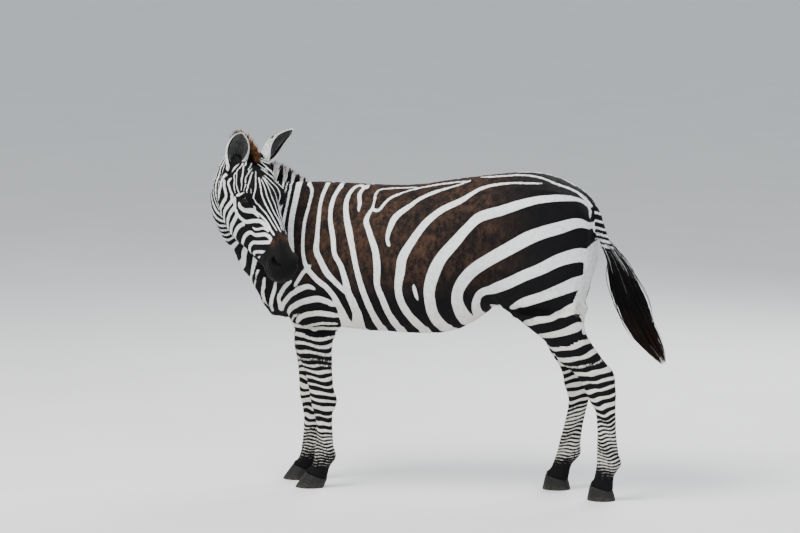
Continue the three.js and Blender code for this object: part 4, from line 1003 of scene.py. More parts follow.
def ear_foot(side, co):
    """Whether points lie inside the foot of the ear."""
    base, up, front, across = ear_frame(side)
    r = (co - base) * 1000
    t = (r @ up) / EAR_LONG
    wide, deep = at_value(EAR_ROWS, np.clip(t, 0, 0.5))[:, :2].T
    k = np.hypot((r @ front) / (deep + 6), (r @ across) / (wide - 2))
    return (k < 1) & (t > -0.25) & (t < 0.5)


# ---------------------------------------------------------------- hair
def blades(roots, middles, tips, across, width, thick, colours, patch):
    """Solid three-sided hairs or tufts from roots to tips, each bent through a middle point."""
    path = np.stack([roots, middles, tips], 1)
    return strands(path, across, width, thick, colours, patch, [1.0, 0.78])


def strands(path, across, width, thick, colours, patch, shares):
    """Solid tapered strands along paths (n, k, 3), with k - 1 three-cornered rings and a tip.

    across: unit widths (n, 3). shares: the rings' widths. patch: (n, 2) places on the unwrap.
    Returns points, triangles, fields and the unwrap's place of each point.
    """
    n, k = path.shape[:2]
    direction = unit(np.gradient(path, axis=1))
    side = unit(across[:, None, :] - (across[:, None, :] * direction).sum(-1, keepdims=True) * direction)
    lift = np.cross(direction, side)
    width, thick = np.broadcast_to(width, n)[:, None, None], np.broadcast_to(thick, n)[:, None, None]
    share = np.asarray(shares)[None, :, None]
    body, half = path[:, :-1], side[:, :-1] * width * share / 2
    rings = np.stack([body - half, body + half, body + lift[:, :-1] * thick * share], 2)
    co = np.concatenate([rings.reshape(n, 3 * (k - 1), 3), path[:, -1:]], 1)
    per, last = 3 * (k - 1) + 1, 3 * (k - 2)
    turn, tri = ((0, 1), (1, 2), (2, 0)), [[0, 2, 1]]
    for a in range(0, last, 3):
        for i, j in turn:
            tri += [[a + i, a + j, a + 3 + j], [a + i, a + 3 + j, a + 3 + i]]
    tri += [[last + i, last + j, per - 1] for i, j in turn]
    faces = (np.array(tri)[None] + (np.arange(n) * per)[:, None, None]).reshape(-1, 3)
    fields = {name: np.repeat(colours[name], per) for name in COLOURS}
    fields["tip"] = np.tile(np.append(np.repeat(np.linspace(0, 1, k)[:-1], 3), 1.0), n)
    out = np.tile(np.array([-0.5, 0.5, 0.0] * (k - 1) + [0.0]), n)
    uv = np.repeat(patch, per, 0) + 0.003 * np.stack([out * 0.9, fields["tip"] - 0.5], 1)
    return co.reshape(-1, 3), faces, fields, np.clip(uv, 0.0005, 0.9995)


def shades(count, mark, brown=0.0, cream=0.0, bare=0.0):
    """The colour fields of count hairs or points: one number for all, or one for each."""
    values = mark, brown, cream, bare
    return {name: np.broadcast_to(value, count) for name, value in zip(COLOURS, values)}


def hair_piece(name, made, slot, material, *nodes):
    """A piece of the model from what strands returns."""
    co, faces, fields, uv = made
    mesh = raw_mesh(name, co, faces)
    store(mesh, fields)
    corners = fetched(mesh.loops, "vertex_index", 1, np.int32)[:, 0]
    mesh.uv_layers.new(name="OFBake").data.foreach_set("uv", uv[corners].astype(np.float32).ravel())
    mesh.materials.append(material)
    obj = new_object(name, mesh)
    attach(obj, "root")
    if nodes:
        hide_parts(*nodes)
    return obj


def scatter(mesh, weight, count):
    """Random places on the mesh: triangle corners and their shares. weight is per point."""
    tri, co = triangles(mesh), coords(mesh)
    a, b, c = (co[tri[:, k]] for k in range(3))
    total = np.linalg.norm(np.cross(b - a, c - a), axis=1) / 2 * weight[tri].mean(1)
    upto = np.cumsum(total) / total.sum()
    picks = np.searchsorted(upto, (np.arange(count) + RNG.random(count)) / count).clip(0, len(tri) - 1)
    r = RNG.random((count, 2))
    r = np.where((r.sum(1) > 1)[:, None], 1 - r, r)
    return tri[picks], np.stack([1 - r.sum(1), r[:, 0], r[:, 1]], 1)


def mixed(values, corners, shares):
    """values of each point, read at the places that scatter found."""
    values = np.asarray(values, float)
    return (values[corners] * (shares if values.ndim == 1 else shares[:, :, None])).sum(1)


def lie_of_coat(co, nor, node):
    """The way the hair lies, in the skin: back and down on the body, down the legs, down the face."""
    def blend(first, second, share):
        return first * (1 - share[:, None]) + second * share[:, None]

    z, p = co[:, 2], to_head(co)
    way = blend(np.tile([0.0, 0.80, -0.60], (len(co), 1)), np.array([0, 1.0, -0.1]), step(z, 1.15, 1.30))
    leg = np.isin(node, [i for i, name in enumerate(FLESH) if name.startswith("leg")])
    way = np.where(leg[:, None], blend(way, np.array([0, 0.05, -1.0]), step(z, 0.85, 0.62)), way)
    back = weights = 0
    for w, _, direction, _ in neck_weights(co, 0.1):
        back = back - w[:, None] * direction
        weights = weights + w
    neck = np.isin(node, [FLESH.index("neck_lower"), FLESH.index("neck_upper")])
    way = np.where(neck[:, None], back / weights[:, None] + np.array([0, 0, -0.35]), way)
    face = HEAD[0] * 0.9 - HEAD[1] * (0.55 * step(p[:, 1], 20, -60) * step(p[:, 0], 330, 250))[:, None]
    face = blend(face, -HEAD[0], step(p[:, 0], 70, 30))
    way = np.where((node == FLESH.index("head"))[:, None], face, way)
    way = np.where((node == FLESH.index("tail_dock"))[:, None], np.array([0, 0.4, -0.9]), way)
    return unit(way - (way * nor).sum(1, keepdims=True) * nor)


def tuft_size(co, node, p):
    """(length, width, height of the tip over the skin) in metres."""
    head = node == FLESH.index("head")
    low, fine = step(co[:, 2], 0.60, 0.42), step(p[:, 0], 60, 330)
    length = np.where(head, 0.0115 - 0.0055 * fine, 0.017 - 0.007 * low)
    width = np.where(head, 0.0038 - 0.0016 * fine, 0.0056 - 0.0024 * low)
    rise = np.where(head, 0.0014 - 0.0008 * fine, 0.0019 - 0.0009 * low)
    under = step(co[:, 2], 0.66, 0.60) * (co[:, 2] > 0.5)
    return length * (1 + 0.25 * under), width, rise


def unwrap(co, node, p):
    """Each point's place, 0 to 1, on a wrap-around unwrap of its own part of the body."""
    uv = np.zeros((len(co), 2))
    for number in np.unique(node):
        name, on = FLESH[number], node == number
        x, y, z = co[on].T
        if name == "head":
            a, b, share = p[on, 1] + 40, p[on, 2], (p[on, 0] + 40) / 620
        elif name == "trunk":
            a, b, share = z - 0.98, x - MID, (y + 0.85) / 1.60
        elif name.startswith("neck"):
            middle = box_centre(name)
            a, b, share = x - middle[0], y - middle[1], (z - 0.75) / 0.75
        else:
            low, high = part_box(name)
            a, b, share = x - x.mean(), y - y.mean(), (z - low.z) / (high.z - low.z)
        uv[on] = np.stack([np.arctan2(a, b) / (2 * np.pi) + 0.5, share], 1)
    return 0.01 + 0.98 * np.clip(uv, 0, 1)


COAT_PIECES = {  # piece: its nodes, tufts
    "coat_trunk_left": (["trunk"], 17000), "coat_trunk_right": (["trunk"], 17000),
    "coat_neck": (["neck_lower", "neck_upper"], 13000),
    "coat_head": (["head"], 17500),
    "coat_legs_fore": ([name for name in FLESH if "_fore_" in name], 13000),
    "coat_legs_hind": ([name for name in FLESH if "_hind_" in name] + ["tail_dock"], 17500),
}

TILT = 0.38  # of each tuft's shading, away from the skin's own


def coat_pieces(mesh, fields, material):
    """Tufts all over the skin, in pieces, coloured from the skin's fields where they lie."""
    co, nor = coords(mesh), normals(mesh)
    node = fields["node"]
    for name, (nodes, count) in COAT_PIECES.items():
        on = np.isin(node, [FLESH.index(n) for n in nodes]).astype(float)
        if name.startswith("coat_trunk"):
            on *= fields["side"] == (1 if name.endswith("left") else -1)
        density = on * (1 - 0.92 * fields["bare"]) * (1 + 1.2 * step(co[:, 2], 0.6, 0.4))
        density *= co[:, 2] > 0.045  # down to the hooves
        corners, shares = scatter(mesh, density, count)
        keep = on[corners].min(1) > 0
        corners, shares = corners[keep], shares[keep]
        root, n = mixed(co, corners, shares), unit(mixed(nor, corners, shares))
        owner, p = node[corners[:, 0]], to_head(root)
        way = lie_of_coat(root, n, owner)
        side = np.cross(n, way)
        sway = RNG.normal(0, 0.16, (len(root), 1))
        way, side = unit(way + sway * side), unit(side - sway * way)
        length, width, rise = tuft_size(root, owner, p)
        length = (length * RNG.uniform(0.75, 1.25, len(root)))[:, None]
        width = width * RNG.uniform(0.8, 1.2, len(root))
        rise = (rise * RNG.uniform(0.7, 1.12, len(root)))[:, None]
        colours = {key: mixed(fields[key], corners, shares) for key in COLOURS}
        made = blades(root - n * 0.0009, root + way * length * 0.5 + n * rise * 0.62,
                      root + way * length + n * rise * 0.85, side, width, width * 0.20, colours,
                      unwrap(root, owner, p))
        made[2]["mark"] = SURFACE.read(fields["mark"], made[0])
        tilt = np.array([-TILT, TILT, 0, -TILT, TILT, 0, 0])[None, :, None] * side[:, None, :]
        piece = hair_piece(name, made, "coat", material)
        piece.data.normals_split_custom_set_from_vertices(unit(n[:, None, :] + tilt).reshape(-1, 3))


# ---------------------------------------------------------------- mane
NECK_ROWS = [  # x, y, z, half depth; mm in the body's frame, chest to poll
    [0, 60, 1005, 235], [3, -60, 1045, 222], [8, -145, 1090, 205], [32, -220, 1138, 186],
    [75, -270, 1186, 166], [130, -291, 1232, 148], [188, -284, 1278, 133], [234, -262, 1306, 124],
    [259, -228, 1314, 116],
]
NECK_UPS = [
    [0, 0.25, 0.97], [0, 0.4, 0.91], [0.05, 0.38, 0.92], [0.0, 0.2, 0.98], [0, 0.05, 1], [0.05, 0.05, 1],
    [0.15, 0.1, 0.98], [0.2, 0.2, 0.96], [0.19, 0.25, 0.95],
]
# share of the mane's length from the withers to the poll, share of its height
MANE_SHARE = [[0, 0.25], [0.1, 0.62], [0.3, 0.95], [0.75, 1.0], [1, 0.95]]
# mm down the face, lean in radians, share of its height
FORELOCK = [[-4, 0.75, 0.92], [16, 1.05, 0.82], [36, 1.4, 0.62], [54, 1.7, 0.4]]
MANE_HIGH = 0.092
AT_POLL = 0.86  # of the mane's length: the forelock starts


def crest_line(count):
    """(foot, up, height) along the mane from the withers over the poll to the forelock."""
    rows = []
    for f in np.arange(count) / (count - 1):
        if f < AT_POLL:
            g = f / AT_POLL
            t = 1.05 + 6.5 * g
            up = unit(along(NECK_UPS, t)[0])
            k = min(1, max(0, (3 - t) / 1.2))
            up = unit(up * (1 - k) + np.array([0, 0.18, 0.98]) * k)
            start, way = along(NECK_ROWS, t)[0][:3] / 1000 + BODY + up * 0.03, up
            share = at_value(MANE_SHARE, g)[0][0]
        else:
            u, lean, share = along(FORELOCK, (f - AT_POLL) / (1 - AT_POLL) * (len(FORELOCK) - 1))[0]
            start, way = from_head([u, 0, 0]), HEAD[1]
            up = math.sin(lean) * HEAD[1] - math.cos(lean) * HEAD[0]
        rows.append([*SURFACE.cast(start, way), *up, MANE_HIGH * share])
    rows = np.array(rows)
    for _ in range(3):
        rows[1:-1] = (rows[:-2] + 2 * rows[1:-1] + rows[2:]) / 4
    return rows


def mane(material, count=5200):
    """Upright hair in uneven clumps, striped with the neck and rusty at the poll."""
    line = crest_line(90)
    t = RNG.random(count) * (len(line) - 1)
    at = along(line, t)
    ahead = unit(along(line, t + 0.5)[:, :3] - along(line, t - 0.5)[:, :3])
    up = unit(at[:, 3:6])
    side = unit(np.cross(ahead, up))
    off = RNG.normal(0, 0.45, count).clip(-1, 1)
    root = at[:, :3] - up * 0.010 + side * (off * 0.0135)[:, None]
    clump = np.sin(t * 2.1) * 0.5 + np.sin(t * 5.3 + 1) * 0.5
    high = at[:, 6] * (0.90 + 0.17 * clump) * (1 - 0.22 * np.abs(off)) * RNG.uniform(0.82, 1.06, count)
    lean = up + side * (off * 0.10 + RNG.normal(0, 0.05, count))[:, None]
    lean = unit(lean + ahead * (RNG.normal(-0.03, 0.07, count) + 0.05 * clump)[:, None])
    bend = side * (off * 0.05)[:, None] + ahead * RNG.normal(0, 0.03, (count, 1))
    steps = np.linspace(0, 1, 5)[None, :, None]
    high = (high + 0.010)[:, None, None]
    path = root[:, None] + lean[:, None] * steps * high - bend[:, None] * steps**2 * high
    place = neck_place(at[:, :3] - up * 0.02) + 0.004 * np.sin(off * 3)
    f = t / (len(line) - 1)
    mark = np.where(f < 0.70, ring_field(place, NECK_RINGS), -0.008)
    rust = step(f, 0.68, 0.80) * RNG.uniform(0.15, 1.0, count) + 0.05
    patch = np.stack([0.03 + 0.94 * f, 0.5 + 0.42 * off], 1)
    made = strands(path, ahead, RNG.uniform(0.0022, 0.0040, count), 0.0018,
                   shades(count, mark, rust, 0.25), patch, [1, 1.05, 0.9, 0.6])
    hair_piece("mane_hair", made, "long_hair", material, "mane")


# ---------------------------------------------------------------- tail
TAIL = [  # x, y, z, half depth, half width; mm in the body's frame, one row for each key
    [0, 1160, 1212, 27, 30], [0, 1192, 1182, 26, 28], [0, 1212, 1140, 24, 26], [2, 1228, 1095, 23, 24],
    [4, 1247, 1046, 24, 24], [6, 1280, 992, 31, 29], [6, 1308, 925, 50, 40], [6, 1343, 835, 62, 48],
    [6, 1385, 740, 62, 48], [6, 1432, 655, 50, 38], [6, 1476, 588, 28, 22], [6, 1494, 552, 12, 10],
]
LOCKS = 12


def tail_hair(material, count=1500):
    """The tail's tuft: long black hair, brown outside, with a few pale hairs at its foot."""
    start = RNG.uniform(3.3, 5.3, count)
    end = np.where(RNG.random(count) < 0.35, RNG.uniform(9.2, 10.9, count),
                   RNG.uniform(7.4, 10.2, count))
    angle = RNG.random(count) * 2 * np.pi
    out = np.sqrt(RNG.random(count))
    out = out * np.where(RNG.random(count) < 0.16, RNG.uniform(0.9, 1.3, count), 0.92)
    pale = (start < 4.3) & (out > 0.55) & (RNG.random(count) < 0.36)
    end = np.where(pale, RNG.uniform(5.4, 7.4, count), end)
    steps = np.linspace(0, 1, 13)
    key = start[:, None] + (end - start)[:, None] * steps[None]
    middle, before, after = (along(TAIL, (key + past).ravel()).reshape(count, 13, 5)
                             for past in (0, -0.2, 0.2))
    ahead = unit((after - before)[..., :3])
    side = unit(np.array([1.0, 0, 0]) - ahead[..., :1] * ahead)
    wave = 0.14 * np.sin(key * 2.2 + angle[:, None] * 5) * steps[None]
    r = np.clip(out[:, None] * (0.55 + 0.45 * step(steps, 0.0, 0.35))[None] + wave, -1.6, 1.6)
    lock = (angle * LOCKS / (2 * np.pi)).astype(int)  # towards the tip the hair gathers into locks
    turn, far = (lock + 0.5) * 2 * np.pi / LOCKS, RNG.uniform(0.2, 1.0, LOCKS)[lock]
    gather = 0.42 * step(key, 6.8, 9.8)
    x, y = (r * way(angle)[:, None] * (1 - gather) + gather * (far * way(turn))[:, None]
            for way in (np.cos, np.sin))
    path = middle[..., :3] + side * (middle[..., 4] * x)[..., None]
    path = (path + np.cross(ahead, side) * (middle[..., 3] * y)[..., None]) / 1000 + BODY
    mark = np.where(pale, RNG.uniform(-0.0018, 0.0006, count), -0.02)
    brown = np.where(out > 0.80, RNG.uniform(0.0, 0.26, count), 0.03)
    patch = np.stack([0.03 + 0.94 * angle / (2 * np.pi), (start - 3.2) / 2.4 * 0.9 + 0.03], 1)
    made = strands(path, side[:, 0], RNG.uniform(0.0030, 0.0052, count), 0.0024,
                   shades(count, mark, brown), patch,
                   [0.7, 1, 1, 1, 1, 1, 0.95, 0.9, 0.8, 0.7, 0.55, 0.35])
    hair_piece("tail_hair", made, "long_hair", material, "tail_tuft")


# ---------------------------------------------------------------- small hair
def ear_down(side, count=1300):
    """Hair that stands in the ear's opening."""
    base, up, front, _ = ear_frame(side)
    t = RNG.uniform(0.0, 0.90, count) ** 1.25
    a = 0.21 + 0.58 * RNG.beta(0.60, 0.60, count)
    root = ear_point(side, t, a, np.ones(count, bool))
    inward = unit(base + up * (EAR_LONG * t / 1000)[:, None] + front * 0.02 - root)
    way = unit(inward * 0.60 + up * 1.0 + front * 0.20 + RNG.normal(0, 0.12, (count, 3)))
    length = RNG.uniform(0.008, 0.020, count)[:, None] * (1 - 0.4 * t[:, None])
    shade = RNG.uniform(0.80, 0.93, count) - 0.28 * step(t, 0.30, 0.05) * (RNG.random(count) < 0.5)
    return blades(root, root + way * length * 0.5, root + unit(way + up * 0.5) * length,
                  np.cross(way, front), 0.0015, 0.0006, shades(count, 0.010, 0.1, 0.2, shade),
                  ear_patch(side, t, a))


def ear_coat(side, count=2600):
    """Short hair on the ear's back, fringing its rim."""
    base, up, _, _ = ear_frame(side)
    t = RNG.uniform(0.0, 0.985, count)
    a = 0.5 - 0.5 * np.cos(np.pi * RNG.random(count))
    a = np.where(t < 0.30, 0.07 + 0.86 * a, a)
    inner = np.zeros(count, bool)
    root = ear_point(side, t, a, inner, lift=-0.4)
    way = unit(ear_point(side, t + 0.05, a, inner, lift=0.6) - root)
    outward = unit(root - base - up * (EAR_LONG * t / 1000)[:, None])
    colours = ear_fields(side, t, np.abs(2 * a - 1), inner)
    return blades(root, root + way * 0.006 + outward * 0.0010, root + way * 0.012 + outward * 0.0012,
                  unit(np.cross(way, outward)), 0.0026, 0.0010, colours, ear_patch(side, t, a))


def ear_patch(side, t, a):
    """Places on the unwrap of the ears' hair."""
    return np.stack([0.02 + 0.46 * a + (0.5 if side < 0 else 0), 0.02 + 0.96 * t], 1)


def joined(parts):
    """What strands returned for several parts, as one."""
    base = np.cumsum([0] + [len(part[0]) for part in parts])
    co, tri, fields, uv = zip(*parts)
    fields = {key: np.concatenate([values[key] for values in fields]) for key in FIELDS}
    tri = np.concatenate([t + b for t, b in zip(tri, base)])
    return np.concatenate(co), tri, fields, np.concatenate(uv)


def lashes(side, count=46):
    """Lashes on the upper lid."""
    x = np.linspace(-15, 19, count) + RNG.normal(0, 0.5, count)
    y = 12.8 * (1 - (x / 22.5) ** 2)
    z = np.sqrt(np.maximum((EYE_R + 3.2) ** 2 - x * x - y * y, 1))
    root = EYE + x[:, None] * LID_LONG + y[:, None] * LID_UP + z[:, None] * LID_AXIS
    out = unit(LID_AXIS * 0.9 + LID_UP * 0.15 + LID_LONG * (x / 50)[:, None])
    bend = unit(LID_AXIS * 0.7 - LID_UP * 0.55 + LID_LONG * (x / 40)[:, None])
    length = RNG.uniform(9, 13, count)[:, None]
    middle = root + out * length * 0.5
    places = (from_head(q * [1, 1, side]) for q in (root, middle, middle + bend * length * 0.45))
    patch = np.stack([np.linspace(0.05, 0.45, count) + (0.5 if side < 0 else 0), np.full(count, 0.2)], 1)
    return blades(*places, np.tile(HEAD[0], (count, 1)), 0.0011, 0.0006, shades(count, -0.02), patch)


def whiskers(side, count=40):
    """Whiskers on muzzle and chin."""
    u = RNG.uniform(455, 530, count)
    v = np.where(RNG.random(count) < 0.55, RNG.uniform(-95, -70, count), RNG.uniform(-40, -8, count))
    ways = (unit(HEAD[2] * side * 0.8 - HEAD[1] * (0.6 if b < -60 else 0.1) + HEAD[0] * 0.3) for b in v)
    root = np.array([SURFACE.cast(from_head([a, b, 0]), way) for a, b, way in zip(u, v, ways)])
    centre = from_head(np.stack([u - 20, v * 0.6, np.zeros(count)], 1))
    out = unit(root - centre + RNG.normal(0, 0.008, (count, 3)))
    length = RNG.uniform(0.012, 0.028, count)[:, None]
    patch = np.stack([RNG.uniform(0.05, 0.95, count), np.full(count, 0.7 if side < 0 else 0.9)], 1)
    tip = root + out * length + np.array([0, 0, -0.25]) * length
    return blades(root, root + out * length * 0.55, tip, np.tile(HEAD[0], (count, 1)), 0.0009, 0.0006,
                  shades(count, -0.02, 0.3), patch)


# ---------------------------------------------------------------- eyes and hooves
def eyeball(side, material, rings=41, around=56):
    """A ball that bulges a little at the cornea, with its pole where the eye looks."""
    name = EYE_NODES[side]
    axis, long_way = (unit((way * [1, 1, side]) @ HEAD) for way in (LID_AXIS, LID_LONG))
    up = np.cross(axis, long_way)
    a = np.repeat(np.linspace(0, np.pi, rings), around)[:, None]
    b = np.tile(np.arange(around) * 2 * np.pi / around, rings)[:, None]
    r = EYE_R / 1000 * 0.985 * (1 + 0.055 * np.exp(-((a / 0.62) ** 2)))
    co = EYES[side] + r * (np.cos(a) * axis + np.sin(a) * (np.cos(b) * long_way + np.sin(b) * up))
    mesh = raw_mesh(name + "_ball", co, ring_quads(rings, around)[:, ::-1])
    with edited(mesh) as bm:
        bmesh.ops.remove_doubles(bm, verts=bm.verts, dist=1e-5)
        bmesh.ops.recalc_face_normals(bm, faces=bm.faces)
    mesh.shade_smooth()
    r = (coords(mesh) - EYES[side]) * 1000
    store(mesh, {"ex": r @ long_way, "ey": r @ up, "ez": r @ axis})
    mesh.materials.append(material)
    obj = new_object(name + "_ball", mesh)
    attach(obj, "root")
    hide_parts(name)


def hoof(leg, material):
    """The CAD hoof with a rounded edge, growth rings and a flat sole."""
    node = f"hoof_{leg}"
    co, _, tri = welded(node)
    bm = bmesh.new()
    verts = [bm.verts.new(p) for p in co]
    for t in tri:
        bm.faces.new([verts[i] for i in t])
    bmesh.ops.join_triangles(bm, faces=bm.faces, angle_face_threshold=0.9, angle_shape_threshold=1.6)
    mesh = bpy.data.meshes.new(node)
    bm.to_mesh(mesh)
    bm.free()
    mesh = modified(new_object(node + "_x", mesh), "REMESH", mode="VOXEL", voxel_size=0.0026)
    co = coords(mesh)
    sole = co[:, 2] < 0.0025
    co = relax(co, edge_list(mesh), 8, np.where(sole, 0.0, 1.0))
    low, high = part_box(node)
    out = (co - box_centre(node)) * [1, 1, 0]
    wall = step(co[:, 2], 0.004, 0.012) * step(co[:, 2], high.z - 0.004, high.z - 0.014)
    heel = step(out[:, 1], 0.020, 0.045)
    slope = co[:, 2] + 0.30 * (co[:, 1] - low.y)
    rings = 0.00045 * np.sin(slope * 1150) + 0.0004 * np.sin(slope * 430 + 1)
    co = co + unit(out) * (rings * wall * (1 - heel))[:, None]
    cleft = np.exp(-((out[:, 0] / 0.006) ** 2)) * step(out[:, 1], 0.030, 0.052)
    co[:, 1] -= 0.010 * cleft * step(co[:, 2], 0.0, 0.006)
    co[:, 2] = np.where(sole, 0.0, np.maximum(co[:, 2], 0.0))
    set_coords(mesh, co)
    mesh.shade_smooth()
    mesh.materials.append(material)
    obj = new_object(node + "_horn", mesh)
    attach(obj, "root")
    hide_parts(node)


# ---------------------------------------------------------------- materials
class Graph:
    """A material's node tree. Inputs take sockets, numbers or colours."""

    def __init__(self, name, **settings):
        self.material = bpy.data.materials.new(name)
        self.material.use_nodes = True
        self.tree = self.material.node_tree
        self.shader = self.tree.nodes["Principled BSDF"]
        self.finish(**settings)

    def put(self, socket, value):
        if isinstance(value, bpy.types.NodeSocket):
            self.tree.links.new(value, socket)
        else:
            socket.default_value = value

    def node(self, kind, inputs, output=0, **settings):
        node = self.tree.nodes.new("ShaderNode" + kind)
        for key, value in settings.items():
            setattr(node, key, value)
        for key, value in inputs.items():
            self.put(node.inputs[key], value)
        return node.outputs[output]

    def math(self, operation, a, b=0.0):
        return self.node("Math", {0: a, 1: b}, operation=operation)

    def add(self, a, b):
        return self.math("ADD", a, b)

    def times(self, a, b):
        return self.math("MULTIPLY", a, b)

    def attribute(self, name):
        return self.node("Attribute", {}, "Fac", attribute_name=name)

    def where(self, scale=(1, 1, 1)):
        place = self.node("TexCoord", {}, "Object")
        return self.node("Mapping", {"Vector": place, "Scale": scale})

    def noise(self, scale, detail=2.0, rough=0.5, stretch=(1, 1, 1)):
        inputs = {"Vector": self.where(stretch), "Scale": scale, "Detail": detail, "Roughness": rough}
        return self.node("TexNoise", inputs, "Fac")

    def spread(self, value, low, high, to=(0.0, 1.0), smooth=True):
        inputs = {"Value": value, "From Min": low, "From Max": high, "To Min": to[0], "To Max": to[1]}
        return self.node("MapRange", inputs, interpolation_type="SMOOTHSTEP" if smooth else "LINEAR")

    def mix(self, share, a, b, blend="MIX"):
        """Colour a, and b by its share."""
        a, b = ((*value, 1.0) if isinstance(value, tuple) else value for value in (a, b))
        return self.node("Mix", {0: share, 6: a, 7: b}, 2, data_type="RGBA", blend_type=blend)

    def grey(self, value):
        return self.node("CombineColor", {"Red": value, "Green": value, "Blue": value})

    def bump(self, height, strength, distance):
        return self.node("Bump", {"Height": height, "Strength": strength, "Distance": distance})

    def finish(self, **inputs):
        for key, value in inputs.items():
            self.put(self.shader.inputs[key.replace("_", " ")], value)
        return self.material


BLACK, WHITE = (0.0048, 0.0048, 0.0056), (0.76, 0.78, 0.79)
BROWN, CREAM = (0.078, 0.041, 0.024), (0.70, 0.62, 0.48)
SKIN_DARK = (0.0036, 0.0035, 0.0039)
RUST, DUST_GREY = (0.21, 0.085, 0.028), (0.36, 0.34, 0.32)


def coat_material(name, long_hair=False):
    """Black and white hair. The same graph colours the skin and the tufts, by each point's fields."""
    g = Graph(name, Specular_IOR_Level=0.07)
    mark, bare, tip = g.attribute("mark"), g.attribute("bare"), g.attribute("tip")
    ragged = g.math("SUBTRACT", g.noise(170, 5.0, 0.72), 0.5)
    white = g.spread(g.add(mark, g.times(ragged, 0.0052)), -0.0013, 0.0013)
    mottle = g.spread(g.noise(44, 7.0, 0.78, (1, 0.8, 0.5)), 0.36, 0.74, (0.02, 1.0))
    mottle = g.times(mottle, g.spread(g.noise(6, 2.0), 0.30, 0.60, (0.45, 1.0)))
    fine = g.noise(900, 2.0, 0.6, (1, 0.3, 0.6))
    dark = g.mix(g.times(g.attribute("brown"), mottle), BLACK, BROWN)
    pale = g.mix(g.attribute("cream"), WHITE, CREAM)
    pale = g.mix(g.spread(g.noise(55, 5.0, 0.7), 0.40, 0.80, (0.0, 0.55)), pale, DUST_GREY)
    if long_hair:
        rust = g.attribute("brown")
        dark = g.mix(g.times(g.spread(tip, 0.62, 1.0), rust), g.mix(0.7, dark, BLACK), RUST)
        pale = g.mix(g.times(g.spread(tip, 0.55, 1.0), rust), pale, RUST)
        pale = g.mix(g.spread(tip, 0.72, 1.0, (0.0, 0.85)), pale, BLACK)
    colour = g.mix(bare, g.mix(white, dark, pale), SKIN_DARK)
    streak = g.grey(g.spread(fine, 0.25, 0.75, (0.80, 1.16), smooth=False))
    pebble = g.node("TexVoronoi", {"Vector": g.where(), "Scale": 640.0}, "Distance")
    return g.finish(Base_Color=g.mix(1.0, colour, streak, "MULTIPLY"),
                    Normal=g.bump(g.mix(bare, fine, pebble), 0.6, 0.0014),
                    Roughness=g.spread(bare, 0.0, 1.0, (0.72, 0.58), smooth=False))


def eye_material():
    """Dark brown iris with a wide level pupil, under a wet cornea."""
    g = Graph("eye_wet", Roughness=0.08, Specular_IOR_Level=0.18, IOR=1.38, Coat_Weight=0.15,
              Coat_Roughness=0.02)
    x, y, z = g.attribute("ex"), g.attribute("ey"), g.attribute("ez")
    flat, tall = (g.math("POWER", g.math("ABSOLUTE", g.math("DIVIDE", value, half)), 2.0)
                  for value, half in ((x, 7.5), (y, 3.4)))
    pupil = g.spread(g.add(flat, tall), 0.75, 1.15, (1.0, 0.0))
    radius = g.math("SQRT", g.add(g.times(x, x), g.times(y, y)))
    brown = g.mix(g.noise(260, 4.0, 0.7), (0.006, 0.0035, 0.002), (0.020, 0.011, 0.006))
    colour = g.mix(pupil, brown, (0.002, 0.002, 0.0025))
    rim = g.mix(g.noise(150, 3.0), (0.006, 0.005, 0.005), (0.020, 0.015, 0.013))
    colour = g.mix(g.spread(radius, 13.6, 15.4, (1.0, 0.0)), rim, colour)
    return g.finish(Base_Color=g.mix(g.spread(z, -2.0, 2.0), rim, colour))


def hoof_material():
    """Grey-brown horn with growth rings, paler streaks and dust near the ground."""
    g = Graph("hoof_horn", Specular_IOR_Level=0.22)
    place = g.node("SeparateXYZ", {"Vector": g.where()}, "Z")
    wave = {"Vector": g.where((1, 0.3, 1)), "Scale": 60.0, "Distortion": 2.2, "Detail": 3.0}
    rings = g.node("TexWave", wave, "Fac", bands_direction="Z")
    streaks = g.noise(90, 4.0, 0.6, (1, 1, 0.08))
    horn = g.mix(streaks, (0.0035, 0.0034, 0.0033), (0.011, 0.0102, 0.0095))
    horn = g.mix(g.times(rings, 0.35), horn, (0.013, 0.012, 0.011))
    dust = g.times(g.spread(place, 0.030, 0.0), g.spread(g.noise(70, 5.0, 0.7), 0.35, 0.7))
    return g.finish(Base_Color=g.mix(g.times(dust, 0.30), horn, (0.12, 0.10, 0.075)),
                    Normal=g.bump(g.add(rings, streaks), 0.25, 0.0010),
                    Roughness=g.spread(g.noise(120, 3.0), 0.3, 0.7, (0.42, 0.68)))


def floor_material():
    g = Graph("floor", Roughness=0.9)
    return g.finish(Base_Color=g.grey(g.spread(g.noise(1.5, 4.0), 0.2, 0.8, (0.66, 0.70), smooth=False)))


# ---------------------------------------------------------------- stage
AZIMUTH, ELEVATION, DISTANCE, LENS = math.radians(103), math.radians(7), 14.0, 151.8
TARGET = Vector((-0.1221, -0.1714, 0.928))


def aimed(name, data, place, target):
    """An object at that place that looks at the target."""
    obj = new_object(name, data)
    obj.location = place
    obj.rotation_euler = (Vector(place) - Vector(target)).to_track_quat("Z", "Y").to_euler()
    return obj


def camera():
    back = Vector((math.sin(AZIMUTH) * math.cos(ELEVATION), -math.cos(AZIMUTH) * math.cos(ELEVATION),
                   math.sin(ELEVATION)))
    data = bpy.data.cameras.new("camera")
    data.lens, data.sensor_width, data.clip_end = LENS, 36.0, 200
    bpy.context.scene.camera = aimed("camera", data, TARGET + back * DISTANCE, TARGET)


def area_light(name, place, size, power, colour=(1, 1, 1)):
    data = bpy.data.lights.new(name, "AREA")
    data.shape, data.size, data.size_y = "RECTANGLE", size, size
    data.energy, data.color = power, colour
    aimed(name, data, place, (-0.12, 0.1, 0.9))


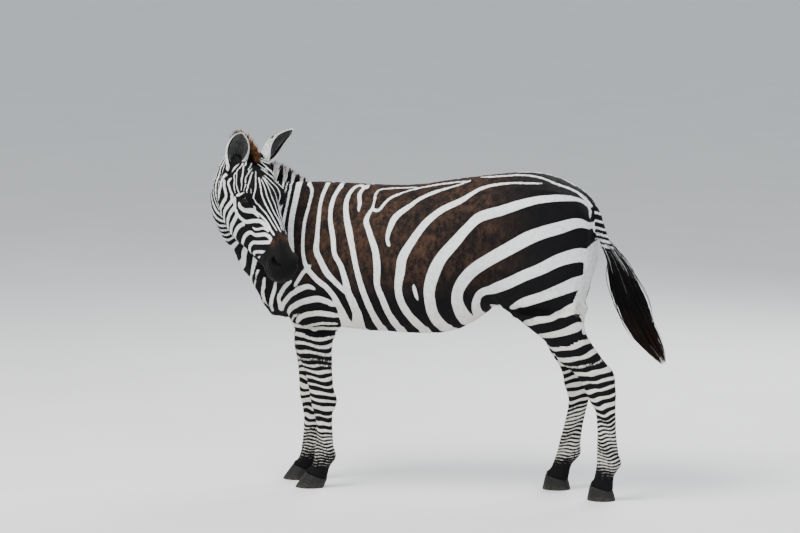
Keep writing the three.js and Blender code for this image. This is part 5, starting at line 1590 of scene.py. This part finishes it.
def stage():
    corners = np.array([[-60, -60, 0], [60, -60, 0], [60, 60, 0], [-60, 60, 0]], float)
    mesh = raw_mesh("floor", corners, np.array([[0, 1, 2, 3]]))
    mesh.materials.append(floor_material())
    new_object("floor", mesh)
    area_light("key", (2.6, -2.6, 6.2), 3.2, 760, (1.0, 0.97, 0.93))
    area_light("fill", (4.8, 3.2, 2.6), 4.0, 190, (0.93, 0.96, 1.0))
    area_light("back", (-4.2, 1.5, 4.2), 3.5, 330)
    world = bpy.data.worlds.new("sky")
    world.use_nodes = True
    sky = world.node_tree.nodes["Background"].inputs
    sky["Color"].default_value, sky["Strength"].default_value = (0.80, 0.85, 0.90, 1), 0.95
    bpy.context.scene.world = world


# ---------------------------------------------------------------- the animal
def joined_skin(skin, ears):
    """Skin and ears as one mesh, the skin's points first."""
    bm = bmesh.new()
    bm.from_mesh(skin)
    for co, quads, _ in ears:
        ear = raw_mesh("ear", co, quads)
        bm.from_mesh(ear)
        bpy.data.meshes.remove(ear)
    bmesh.ops.recalc_face_normals(bm, faces=bm.faces)
    mesh = bpy.data.meshes.new("skin")
    bm.to_mesh(mesh)
    bm.free()
    mesh.shade_smooth()
    return mesh


camera()
stage()
SKIN = shape_skin(build_skin())
SURFACE = Surface(SKIN)
SKIN_NORMALS = normals(SKIN)
PAINT = paint(coords(SKIN))
COAT, LONG = coat_material("coat_short"), coat_material("coat_long", long_hair=True)

coat_pieces(SKIN, PAINT, COAT)
mane(LONG)
tail_hair(LONG)
for each, kinds in (("ear_hair", (ear_down, ear_coat)), ("lashes_and_whiskers", (lashes, whiskers))):
    hair_piece(each, joined([kind(side) for side in SIDES for kind in kinds]), "coat", COAT)
EAR_MESHES = [ear_mesh(side) for side in SIDES]
WHOLE = joined_skin(SKIN, EAR_MESHES)
store(WHOLE, {key: np.concatenate([PAINT[key]] + [f[key] for _, _, f in EAR_MESHES]) for key in FIELDS})
WHOLE.materials.append(COAT)
skin_piece = new_object("skin", WHOLE)
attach(skin_piece, "root")
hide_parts(*FLESH, "ear_left", "ear_right")
EYE_SHINE = eye_material()
for each in SIDES:
    eyeball(each, EYE_SHINE)
HORN = hoof_material()
for each in LEGS:
    hoof(each, HORN)
